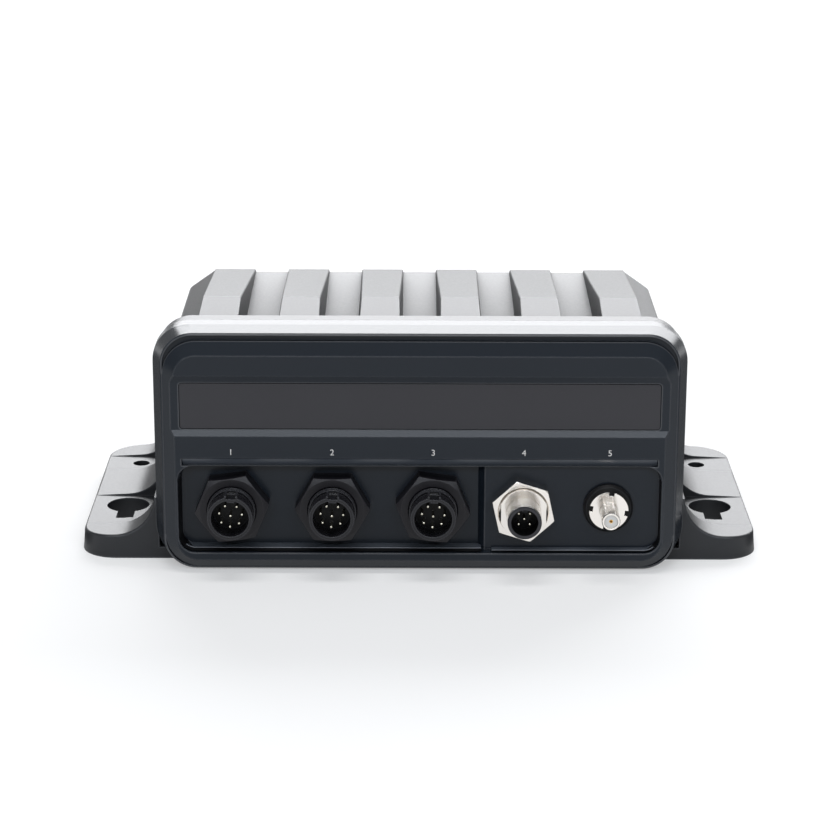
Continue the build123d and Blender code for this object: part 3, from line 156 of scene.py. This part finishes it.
def add(tree, kind, settings=None, values=None):
    """New node with its settings and the values of its unlinked sockets."""
    made = tree.nodes.new(kind)
    for name, value in (settings or {}).items():
        setattr(made, name, value)
    for name, value in (values or {}).items():
        made.inputs[name].default_value = value
    return made


def new_group(name, inputs, outputs):
    """Empty shader group with named sockets: inputs are (name, value), outputs are (name, kind)."""
    tree = bpy.data.node_groups.new(name, "ShaderNodeTree")
    for socket_name, value in inputs:
        socket = tree.interface.new_socket(socket_name, in_out="INPUT", socket_type="NodeSocketFloat")
        socket.default_value = value
    for socket_name, kind in outputs:
        tree.interface.new_socket(socket_name, in_out="OUTPUT", socket_type=kind)
    return tree, add(tree, "NodeGroupInput"), add(tree, "NodeGroupOutput")


def softened_edges_group():
    """Normal that rounds every sharp edge a little."""
    tree, given, result = new_group(
        "softened_edges", (("Radius", 0.2 * MM),), (("Normal", "NodeSocketVector"),)
    )
    bevel = add(tree, "ShaderNodeBevel", {"samples": BEVEL_SAMPLES})
    tree.links.new(given.outputs["Radius"], bevel.inputs["Radius"])
    tree.links.new(bevel.outputs["Normal"], result.inputs["Normal"])
    return tree


def form_group():
    """Masks of the outer edges, and of the places that stand sheltered between other faces."""
    tree, given, result = new_group(
        "form_masks",
        (("Edge Reach", 0.4 * MM), ("Shelter Reach", 8 * MM)),
        (("Edge", "NodeSocketFloat"), ("Shelter", "NodeSocketFloat")),
    )
    masks = (
        ("Edge", EDGE_OPENNESS, {"inside": True, "only_local": True}),
        ("Shelter", SHELTER_OPENNESS, {}),
    )
    for name, (start, full), settings in masks:
        openness = add(tree, "ShaderNodeAmbientOcclusion", {"samples": FORM_SAMPLES, **settings})
        tree.links.new(given.outputs[f"{name} Reach"], openness.inputs["Distance"])
        mask = add(tree, "ShaderNodeMapRange", values={"From Min": start, "From Max": full})
        tree.links.new(openness.outputs["AO"], mask.inputs["Value"])
        tree.links.new(mask.outputs["Result"], result.inputs[name])
    return tree


def grain_group():
    """Fine surface grain of a chosen size, and slow cloudy mottling."""
    tree, given, result = new_group(
        "surface_grain",
        (("Grain Size", 0.5 * MM), ("Cloud Size", 20 * MM)),
        (("Grain", "NodeSocketFloat"), ("Cloud", "NodeSocketFloat")),
    )
    place = add(tree, "ShaderNodeTexCoord")
    for name, detail in (("Grain", GRAIN_DETAIL), ("Cloud", CLOUD_DETAIL)):
        scale = add(tree, "ShaderNodeMath", {"operation": "DIVIDE"}, {0: 1.0})
        tree.links.new(given.outputs[f"{name} Size"], scale.inputs[1])
        noise = add(tree, "ShaderNodeTexNoise", values={"Detail": detail, "Roughness": NOISE_ROUGHNESS})
        tree.links.new(place.outputs["Object"], noise.inputs["Vector"])
        tree.links.new(scale.outputs["Value"], noise.inputs["Scale"])
        tree.links.new(noise.outputs["Fac"], result.inputs[name])
    return tree


SOFTENED_EDGES = softened_edges_group()
FORM_MASKS = form_group()
SURFACE_GRAIN = grain_group()


# ---- Finishes ----
def shade(colour, factor=1.0):
    """The colour made lighter or darker, with full alpha."""
    return tuple(min(1.0, channel * factor) for channel in colour) + (1.0,)


def new_material(name):
    """New material, its node tree and the output node that alone is in it."""
    material = bpy.data.materials.new(name)
    material.use_nodes = True
    tree = material.node_tree
    tree.nodes.clear()
    return material, tree, add(tree, "ShaderNodeOutputMaterial")


def place_group(tree, group, values):
    """Shader group as a node, with its own values."""
    return add(tree, "ShaderNodeGroup", {"node_tree": group}, values)


def blend(tree, mask, first, second):
    """Socket of a colour that goes from first to second with a mask; first may be a socket too."""
    mix = add(tree, "ShaderNodeMix", {"data_type": "RGBA"}, {MIX_SECOND: second})
    tree.links.new(mask, mix.inputs[MIX_FACTOR])
    if isinstance(first, tuple):
        mix.inputs[MIX_FIRST].default_value = first
    else:
        tree.links.new(first, mix.inputs[MIX_FIRST])
    return mix.outputs[MIX_RESULT]


def finish(
    name,
    colour,
    roughness,
    shader_values=None,
    edge_radius=0.25 * MM,
    edge_highlight_colour=None,
    shelter_reach=6 * MM,
    hollow_shade_tint=0.6,
    shelter_roughness=0.0,
    grain_size=0.6 * MM,
    grain_depth=0.01 * MM,
    cloud_size=25 * MM,
    cloud_tint=0.06,
    roughness_spread=0.05,
):
    """Material with softened edges, fine grain and a slow change of tone. Painted shade darkens its
    sheltered places, and where an edge colour is given, a painted highlight lightens its outer edges.
    """
    material, tree, output = new_material(name)
    shader = add(tree, "ShaderNodeBsdfPrincipled", values=shader_values)
    tree.links.new(shader.outputs["BSDF"], output.inputs["Surface"])

    edges = place_group(tree, SOFTENED_EDGES, {"Radius": edge_radius})
    form = place_group(
        tree, FORM_MASKS, {"Edge Reach": EDGE_REACH * edge_radius, "Shelter Reach": shelter_reach}
    )
    grain = place_group(tree, SURFACE_GRAIN, {"Grain Size": grain_size, "Cloud Size": cloud_size})
    clouds = blend(
        tree, grain.outputs["Cloud"], shade(colour, 1 - cloud_tint), shade(colour, 1 + cloud_tint)
    )
    # Painted shade: the colour darkens where the place is sheltered between other faces.
    sheltered = blend(tree, form.outputs["Shelter"], clouds, shade(colour, hollow_shade_tint))
    # Painted highlight: outer edges take the paler edge colour, where one is given.
    edge_highlit = blend(tree, form.outputs["Edge"], sheltered, shade(edge_highlight_colour or colour))
    tree.links.new(edge_highlit, shader.inputs["Base Color"])

    gloss = add(
        tree,
        "ShaderNodeMapRange",
        values={"To Min": roughness - roughness_spread, "To Max": roughness + roughness_spread},
    )
    tree.links.new(grain.outputs["Grain"], gloss.inputs["Value"])
    dulled = add(tree, "ShaderNodeMath", {"operation": "MULTIPLY_ADD"}, {1: shelter_roughness})
    tree.links.new(form.outputs["Shelter"], dulled.inputs[0])
    tree.links.new(gloss.outputs["Result"], dulled.inputs[2])
    tree.links.new(dulled.outputs["Value"], shader.inputs["Roughness"])
    bump = add(tree, "ShaderNodeBump", values={"Distance": grain_depth})
    tree.links.new(grain.outputs["Grain"], bump.inputs["Height"])
    tree.links.new(edges.outputs["Normal"], bump.inputs["Normal"])
    tree.links.new(bump.outputs["Normal"], shader.inputs["Normal"])
    return material


def powder_coat(name, colour):
    """Satin powder coat over a die casting: slightly uneven, with a fine orange peel, painted shade
    between its fins and a painted highlight along its outer edges.
    """
    return finish(
        name,
        colour,
        roughness=0.36,
        shader_values={"Specular IOR Level": 0.45},
        edge_radius=0.35 * MM,
        shelter_reach=14 * MM,
        # paler edge colour: painted highlight along the outer edges
        edge_highlight_colour=(0.040, 0.042, 0.046),
        shelter_roughness=0.22,
        grain_size=0.9 * MM,
        grain_depth=0.008 * MM,
    )


def cast_paint():
    """Coat of the housing."""
    return powder_coat("cast_paint", (0.022, 0.023, 0.026))


def base_paint():
    """Coat of the base: the housing's coat made a shade darker, as painted shade."""
    return powder_coat("base_paint", (0.011, 0.0125, 0.0155))


def panel_plastic():
    """Charcoal moulding with a satin skin, a painted highlight line along its outer edges and painted
    shade in its recesses.
    """
    return finish(
        "panel_plastic",
        (0.0105, 0.0145, 0.0205),
        roughness=0.24,
        shader_values={"Specular IOR Level": 0.25},
        edge_radius=0.35 * MM,
        # paler edge colour: painted highlight line along the outer edges
        edge_highlight_colour=(0.060, 0.063, 0.069),
        shelter_reach=10 * MM,
        hollow_shade_tint=0.8,
        grain_size=0.5 * MM,
        grain_depth=0.0015 * MM,
    )


def fine_moulding(name, colour, roughness):
    """Paler copy of the panel moulding, as painted light on the pieces laid over it."""
    return finish(name, colour, roughness, edge_radius=0.05 * MM, hollow_shade_tint=0.9)


def bead_plastic():
    """Pale skin of the fine beads: a painted highlight."""
    return fine_moulding("bead_plastic", (0.15, 0.16, 0.18), roughness=0.3)


def sill_plastic():
    """Paler skin laid on the hood's slope, as a painted reflection, and on the connector recess's sill, as
    painted light over its shade.
    """
    return fine_moulding("sill_plastic", (0.052, 0.060, 0.072), roughness=0.35)


def label_film():
    """Smooth dark plate with a warmer tone than the moulding round it."""
    return finish(
        "label_film",
        (0.034, 0.033, 0.037),
        roughness=0.42,
        shader_values={"Specular IOR Level": 0.30},
        edge_radius=0.15 * MM,
        grain_size=0.35 * MM,
        grain_depth=0.003 * MM,
    )


def connector_black():
    """Glossy moulded body of a connector, with a painted highlight on its outer edges and deep painted
    shade in its hollows.
    """
    return finish(
        "connector_black",
        (0.007, 0.0068, 0.009),
        roughness=0.27,
        shader_values={"Specular IOR Level": 0.36},
        edge_radius=0.3 * MM,
        edge_highlight_colour=(0.022, 0.022, 0.026),
        hollow_shade_tint=0.2,
        grain_depth=0.003 * MM,
    )


def nut_black():
    """Dull black glass-filled nylon, with a painted highlight on its outer edges and painted shade in its
    hollows.
    """
    return finish(
        "nut_black",
        (0.0055, 0.005, 0.0075),
        roughness=0.42,
        shader_values={"Specular IOR Level": 0.34},
        edge_highlight_colour=(0.013, 0.012, 0.015),
        grain_size=0.4 * MM,
        grain_depth=0.012 * MM,
        roughness_spread=0.08,
    )


def black_insulation():
    """Dull black insulating plastic, with a painted highlight on its outer edges and deep painted shade
    down in its holes.
    """
    return finish(
        "black_insulation",
        (0.005, 0.005, 0.0055),
        roughness=0.4,
        shader_values={"Specular IOR Level": 0.18},
        edge_radius=0.15 * MM,
        edge_highlight_colour=(0.020, 0.021, 0.024),
        shelter_reach=5 * MM,
        hollow_shade_tint=0.1,
    )


def metal(name, colour, roughness, edge_radius=0.12 * MM, hollow_shade_tint=1.0):
    """Bare or plated metal whose gloss is finely uneven."""
    return finish(
        name,
        colour,
        roughness,
        shader_values={"Metallic": 1.0},
        edge_radius=edge_radius,
        shelter_reach=0.6 * MM,
        hollow_shade_tint=hollow_shade_tint,
        grain_size=0.25 * MM,
        grain_depth=0.0003 * MM,
        cloud_size=9 * MM,
        cloud_tint=0.02,
        roughness_spread=0.015,
    )


def nickel():
    """Bright nickel plating, slightly warm, with painted shade down in a thread."""
    return metal("nickel", (0.92, 0.88, 0.83), roughness=0.15, hollow_shade_tint=0.72)


def plated_contact():
    """Silver-plated pins with rounded tips."""
    return metal("plated_contact", (0.66, 0.63, 0.53), roughness=0.13, edge_radius=0.1 * MM)


def gold_contact():
    """Gold-plated contact."""
    return metal("gold_contact", (0.83, 0.56, 0.22), roughness=0.25)


def steel_fastener():
    """Stainless screw."""
    return metal("steel_fastener", (0.56, 0.55, 0.53), roughness=0.32)


def tin_can():
    """Tin-plated shield, a little dull."""
    return metal("tin_can", (0.66, 0.66, 0.64), roughness=0.4)


def module_lid():
    """Metal lid of the power module."""
    return metal("module_lid", (0.62, 0.62, 0.62), roughness=0.35)


def copper_winding():
    """Enamelled copper."""
    return metal("copper_winding", (0.62, 0.27, 0.12), roughness=0.3)


def plain_plastic(name, colour, roughness):
    """Plastic, rubber or coating of a part that hardly shows."""
    return finish(name, colour, roughness, edge_radius=0.15 * MM)


def white_insulation():
    """White fluoropolymer, and the white of the printed numbers."""
    return plain_plastic("white_insulation", (0.74, 0.72, 0.69), 0.45)


def gland_plastic():
    """Black nylon of a cable gland."""
    return plain_plastic("gland_plastic", (0.020, 0.020, 0.021), 0.42)


def seal_rubber():
    """Black moulded rubber."""
    return plain_plastic("seal_rubber", (0.012, 0.012, 0.012), 0.75)


def board_green():
    """Circuit board under green solder mask."""
    return plain_plastic("board_green", (0.015, 0.11, 0.045), 0.3)


def chip_black():
    """Moulded component body."""
    return plain_plastic("chip_black", (0.02, 0.02, 0.022), 0.55)


def pad_grey():
    """Soft heat-transfer pad."""
    return plain_plastic("pad_grey", (0.42, 0.43, 0.45), 0.8)


def capacitor_sleeve():
    """Shrunk sleeve of a can capacitor."""
    return plain_plastic("capacitor_sleeve", (0.02, 0.02, 0.035), 0.25)


def ribbon_grey():
    """Grey flat cable."""
    return plain_plastic("ribbon_grey", (0.40, 0.41, 0.43), 0.5)


def cable_jacket():
    """Jacket of the coaxial lead."""
    return plain_plastic("cable_jacket", (0.02, 0.02, 0.021), 0.4)


FINISHES = {
    maker.__name__: maker()
    for maker in (
        cast_paint,
        base_paint,
        panel_plastic,
        bead_plastic,
        sill_plastic,
        label_film,
        connector_black,
        nut_black,
        black_insulation,
        nickel,
        plated_contact,
        gold_contact,
        steel_fastener,
        tin_can,
        module_lid,
        copper_winding,
        white_insulation,
        gland_plastic,
        seal_rubber,
        board_green,
        chip_black,
        pad_grey,
        capacitor_sleeve,
        ribbon_grey,
        cable_jacket,
    )
}


def dress_cad_nodes():
    """Give every CAD node the finish of its slot in the record."""
    for row in frame["record"]["subparts"]:
        mesh = frame["nodes"][row["node"]].data
        mesh.materials.clear()
        mesh.materials.append(FINISHES[row["material_slot"]])


# ---- Pieces ----
def front_middle(node):
    """Middle of the front of a CAD node's box."""
    low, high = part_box(node)
    return Vector(((low.x + high.x) / 2, low.y, (low.z + high.z) / 2))


def facing_front(point):
    """Matrix at a point: local X right, local Y up, local Z towards the front."""
    turn = Matrix(((1, 0, 0), (0, 0, -1), (0, 1, 0))).to_4x4()
    return Matrix.Translation(point) @ turn


def placed(name, data, material_slot, station=None, finish_name=None):
    """Object of a mesh or curve at a station, riding on the radio, in its slot's finish or a named one."""
    piece = bpy.data.objects.new(name, data)
    bpy.context.scene.collection.objects.link(piece)
    piece.matrix_world = station or Matrix.Identity(4)
    data.materials.append(FINISHES[finish_name or material_slot])
    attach(piece, BODY)
    return piece


def finished_mesh(name, shape):
    """Mesh of a bmesh, which is freed."""
    mesh = bpy.data.meshes.new(name)
    shape.to_mesh(mesh)
    shape.free()
    return mesh


def strip_mesh(name, rows):
    """Smooth strip of faces between rows of points."""
    shape = bmesh.new()
    grid = [[shape.verts.new(point) for point in row] for row in rows]
    for row, next_row in zip(grid, grid[1:]):
        for a, b, c, d in zip(row, row[1:], next_row[1:], next_row):
            shape.faces.new((a, b, c, d)).smooth = True
    return finished_mesh(name, shape)


def printed_number(number, node):
    """Numeral printed on the strip over a connector."""
    text = bpy.data.curves.new(f"printed_number_{number}", "FONT")
    text.body = str(number)
    text.size = PRINT_HEIGHT
    text.extrude = PRINT_DEPTH
    text.align_x = "CENTER"
    text.align_y = "CENTER"
    point = (front_middle(node).x, front_middle("front_panel").y, PRINT_Z)
    return placed(text.name, text, "white_insulation", facing_front(point))


def key_ribs(number):
    """Two small ribs beside the key groove of a microphone connector."""
    shape = bmesh.new()
    inner, outer = KEY_RIB_RADII
    for side in (-1, 1):
        size = (KEY_RIB_WIDTH, outer - inner, KEY_RIB_LENGTH)
        place = (side * KEY_RIB_X, (inner + outer) / 2, -KEY_RIB_LENGTH / 2)
        bmesh.ops.create_cube(shape, size=1.0, matrix=Matrix.LocRotScale(place, None, size))
    mesh = finished_mesh(f"key_ribs_{number}", shape)
    station = facing_front(front_middle(f"mic_shell_{number}"))
    return placed(mesh.name, mesh, "connector_black", station @ Matrix.Rotation(radians(KEY_TURN), 4, "Z"))


def wall_line(side, end_x, y, corner_y, last_turn, rise=0.0):
    """Points of the recess's wall, from left to right: its lower side and part of its outer corner.

    The line lies at y on the lower side, and moves from there to corner_y round the corner.
    """
    points = []
    for turn in range(0, last_turn + 1, CORNER_STEP):
        share = min(1.0, turn / SILL_TURN)
        point_y = y + share * (corner_y - y)
        radius = CORNER_RADIUS - (point_y - RECESS_FACE_Y) * tan(radians(RECESS_DRAFT)) - STRIP_LIFT
        x = CORNER_X + radius * sin(radians(turn))
        points.append((side * x, point_y, CORNER_Z - radius * cos(radians(turn))))
    points.insert(0, (end_x, *points[0][1:]))
    if rise:
        points.append((*points[-1][:2], points[-1][2] + rise))
    return points if side > 0 else points[::-1]


def sill_floor(name, side, end_x, floor_y, bead_y):
    """Back part of the recess's lower wall, up to the bead, laid over in a paler skin as painted light
    over its shade.
    """
    rows = [wall_line(side, end_x, y, y, SILL_TURN) for y in (bead_y, floor_y)]
    mesh = strip_mesh(f"sill_floor_{name}", rows)
    return placed(mesh.name, mesh, "panel_plastic", finish_name="sill_plastic")


def sill_groove(name, side, end_x, floor_y, bead_y):
    """Black strip of painted shade on the recess's lower wall behind the lip, which climbs its side."""
    rows = [
        wall_line(side, end_x, SHADE_STRIP_FRONT_Y, SHADE_STRIP_FRONT_Y, SHADE_STRIP_TURN, SHADE_STRIP_RISE),
        wall_line(side, end_x, bead_y, floor_y, SHADE_STRIP_TURN, SHADE_STRIP_RISE),
    ]
    mesh = strip_mesh(f"sill_groove_{name}", rows)
    return placed(mesh.name, mesh, "black_insulation")


def sill_bead(name, side, end_x, bead_y):
    """Fine pale rod along the corner, a painted highlight that borders the black strip of painted shade.
    """
    line = bpy.data.curves.new(f"sill_bead_{name}", "CURVE")
    line.dimensions = "3D"
    line.bevel_depth = BEAD_RADIUS
    points = wall_line(side, end_x, bead_y, bead_y, SILL_TURN)
    spline = line.splines.new("POLY")
    spline.points.add(len(points) - 1)
    for knot, point in zip(spline.points, points):
        knot.co = (*point, 1.0)
    return placed(line.name, line, "panel_plastic", finish_name="bead_plastic")


def hood_face():
    """Sloping underside of the hood over the connectors, laid over in a paler skin as a painted
    reflection.
    """
    rows = [
        [(side * HOOD_HALF_WIDTH, y - STRIP_LIFT, z) for side in (-1, 1)]
        for y, z in HOOD_SLOPE
    ]
    mesh = strip_mesh("hood_face", rows)
    return placed(mesh.name, mesh, "panel_plastic", finish_name="sill_plastic")


def insulation_ring():
    """Front ring of the network connector's insulation, paler than the black insulation: painted light on
    its open front face.
    """
    turns = [2 * pi * step / RING_STEPS for step in range(RING_STEPS + 1)]
    rows = [
        [(radius * cos(turn), radius * sin(turn), STRIP_LIFT) for turn in turns]
        for radius in RING_RADII
    ]
    mesh = strip_mesh("insulation_ring", rows)
    return placed(mesh.name, mesh, "label_film", facing_front(front_middle("network_insert")))


def build_pieces():
    """Everything that stands on the CAD parts."""
    for number, node in enumerate(CONNECTOR_NODES, start=1):
        printed_number(number, node)
    for number in MIC_NUMBERS:
        key_ribs(number)
    for name, side, end_x, floor_y, bead_y in SILLS:
        sill_floor(name, side, end_x, floor_y, bead_y)
        sill_groove(name, side, end_x, floor_y, bead_y)
        sill_bead(name, side, end_x, bead_y)
    hood_face()
    insulation_ring()


# ---- Studio ----
def studio_sheet(name, low, high, z, material):
    """Flat rectangle of the studio, between two corners."""
    shape = bmesh.new()
    corners = ((low[0], low[1], z), (high[0], low[1], z), (high[0], high[1], z), (low[0], high[1], z))
    shape.faces.new([shape.verts.new(corner) for corner in corners])
    mesh = finished_mesh(name, shape)
    mesh.materials.append(material)
    sheet = bpy.data.objects.new(name, mesh)
    bpy.context.scene.collection.objects.link(sheet)
    return sheet


def build_floor():
    """Pale floor that keeps the radio's shadow, and that glows white to the eye farther off."""
    material, tree, output = new_material("studio_floor")
    matt = add(tree, "ShaderNodeBsdfDiffuse", values={"Color": shade(FLOOR_COLOUR)})
    glow = add(tree, "ShaderNodeEmission")
    seen = add(tree, "ShaderNodeLightPath")
    place = add(tree, "ShaderNodeNewGeometry")
    distance = add(tree, "ShaderNodeVectorMath", {"operation": "LENGTH"})
    tree.links.new(place.outputs["Position"], distance.inputs[0])
    near, far = FAR_FLOOR
    spread = add(
        tree,
        "ShaderNodeMapRange",
        values={"From Min": near, "From Max": far, "To Min": FLOOR_GLOW, "To Max": FAR_GLOW},
    )
    tree.links.new(distance.outputs["Value"], spread.inputs["Value"])
    shown = add(tree, "ShaderNodeMath", {"operation": "MULTIPLY"})
    tree.links.new(seen.outputs["Is Camera Ray"], shown.inputs[0])
    tree.links.new(spread.outputs["Result"], shown.inputs[1])
    strength = add(tree, "ShaderNodeMath", {"operation": "MULTIPLY_ADD"}, {1: FLOOR_GLOW})
    tree.links.new(seen.outputs["Is Glossy Ray"], strength.inputs[0])
    tree.links.new(shown.outputs["Value"], strength.inputs[2])
    tree.links.new(strength.outputs["Value"], glow.inputs["Strength"])
    both = add(tree, "ShaderNodeAddShader")
    tree.links.new(matt.outputs["BSDF"], both.inputs[0])
    tree.links.new(glow.outputs["Emission"], both.inputs[1])
    tree.links.new(both.outputs["Shader"], output.inputs["Surface"])
    half = FLOOR_HALF_SIZE
    studio_sheet("studio_floor", (-half, -half), (half, half), -FLOOR_DROP, material)


def build_cards():
    """Dark cards beside the radio that keep its sides dark in reflections."""
    material, tree, output = new_material("studio_card")
    matt = add(tree, "ShaderNodeBsdfDiffuse", values={"Color": shade(CARD_COLOUR)})
    tree.links.new(matt.outputs["BSDF"], output.inputs["Surface"])
    inner = cad_high.x + CARD_GAP
    outer = inner + CARD_WIDTH
    for name, left, right in (("card_left", -outer, -inner), ("card_right", inner, outer)):
        card = studio_sheet(name, (left, CARD_FRONT_Y), (right, CARD_BACK_Y), CARD_HEIGHT, material)
        card.visible_camera = False
        card.visible_diffuse = False
        card.visible_shadow = False


def build_sky():
    """White surroundings for the eye and for reflections, dimmer as a light."""
    world = bpy.data.worlds.new("studio_sky")
    bpy.context.scene.world = world
    world.use_nodes = True
    tree = world.node_tree
    tree.nodes.clear()
    output = add(tree, "ShaderNodeOutputWorld")
    sky = add(tree, "ShaderNodeBackground", values={"Color": shade(WHITE)})
    seen = add(tree, "ShaderNodeLightPath")
    mirrored = add(tree, "ShaderNodeMapRange", values={"To Min": SKY_AMBIENT, "To Max": SKY_MIRRORED})
    tree.links.new(seen.outputs["Is Glossy Ray"], mirrored.inputs["Value"])
    shown = add(tree, "ShaderNodeMath", {"operation": "MAXIMUM"})
    tree.links.new(seen.outputs["Is Camera Ray"], shown.inputs[0])
    tree.links.new(seen.outputs["Is Transmission Ray"], shown.inputs[1])
    strength = add(tree, "ShaderNodeMapRange", values={"To Max": SKY_SHOWN})
    tree.links.new(shown.outputs["Value"], strength.inputs["Value"])
    tree.links.new(mirrored.outputs["Result"], strength.inputs["To Min"])
    tree.links.new(strength.outputs["Result"], sky.inputs["Strength"])
    tree.links.new(sky.outputs["Background"], output.inputs["Surface"])


def build_softbox(name, place, width, height, brightness, colour):
    """Rectangular lamp that faces the radio; its power follows from its size and brightness."""
    lamp = bpy.data.lights.new(name, "AREA")
    lamp.shape = "RECTANGLE"
    lamp.size = width
    lamp.size_y = height
    lamp.energy = SOFTBOX_POWER * brightness * width * height
    lamp.color = colour
    holder = bpy.data.objects.new(name, lamp)
    holder.location = place
    holder.rotation_euler = (Vector(SOFTBOX_AIM) - Vector(place)).to_track_quat("-Z", "Y").to_euler()
    holder.visible_camera = False
    bpy.context.scene.collection.objects.link(holder)


def build_camera():
    """Camera a little above the radio's front, with a long lens."""
    data = bpy.data.cameras.new("camera")
    data.lens = CAMERA_LENS
    data.sensor_width = CAMERA_SENSOR
    camera = bpy.data.objects.new("camera", data)
    turn = (
        Matrix.Rotation(radians(CAMERA_YAW), 4, "Z")
        @ Matrix.Rotation(radians(90 - CAMERA_PITCH), 4, "X")
        @ Matrix.Rotation(radians(CAMERA_ROLL), 4, "Z")
    )
    camera.matrix_world = Matrix.Translation(CAMERA_PLACE) @ turn
    bpy.context.scene.collection.objects.link(camera)
    bpy.context.scene.camera = camera


bpy.context.scene.view_settings.view_transform = "Standard"
dress_cad_nodes()
build_pieces()
build_floor()
build_cards()
build_sky()
for softbox in SOFTBOXES:
    build_softbox(*softbox)
build_camera()
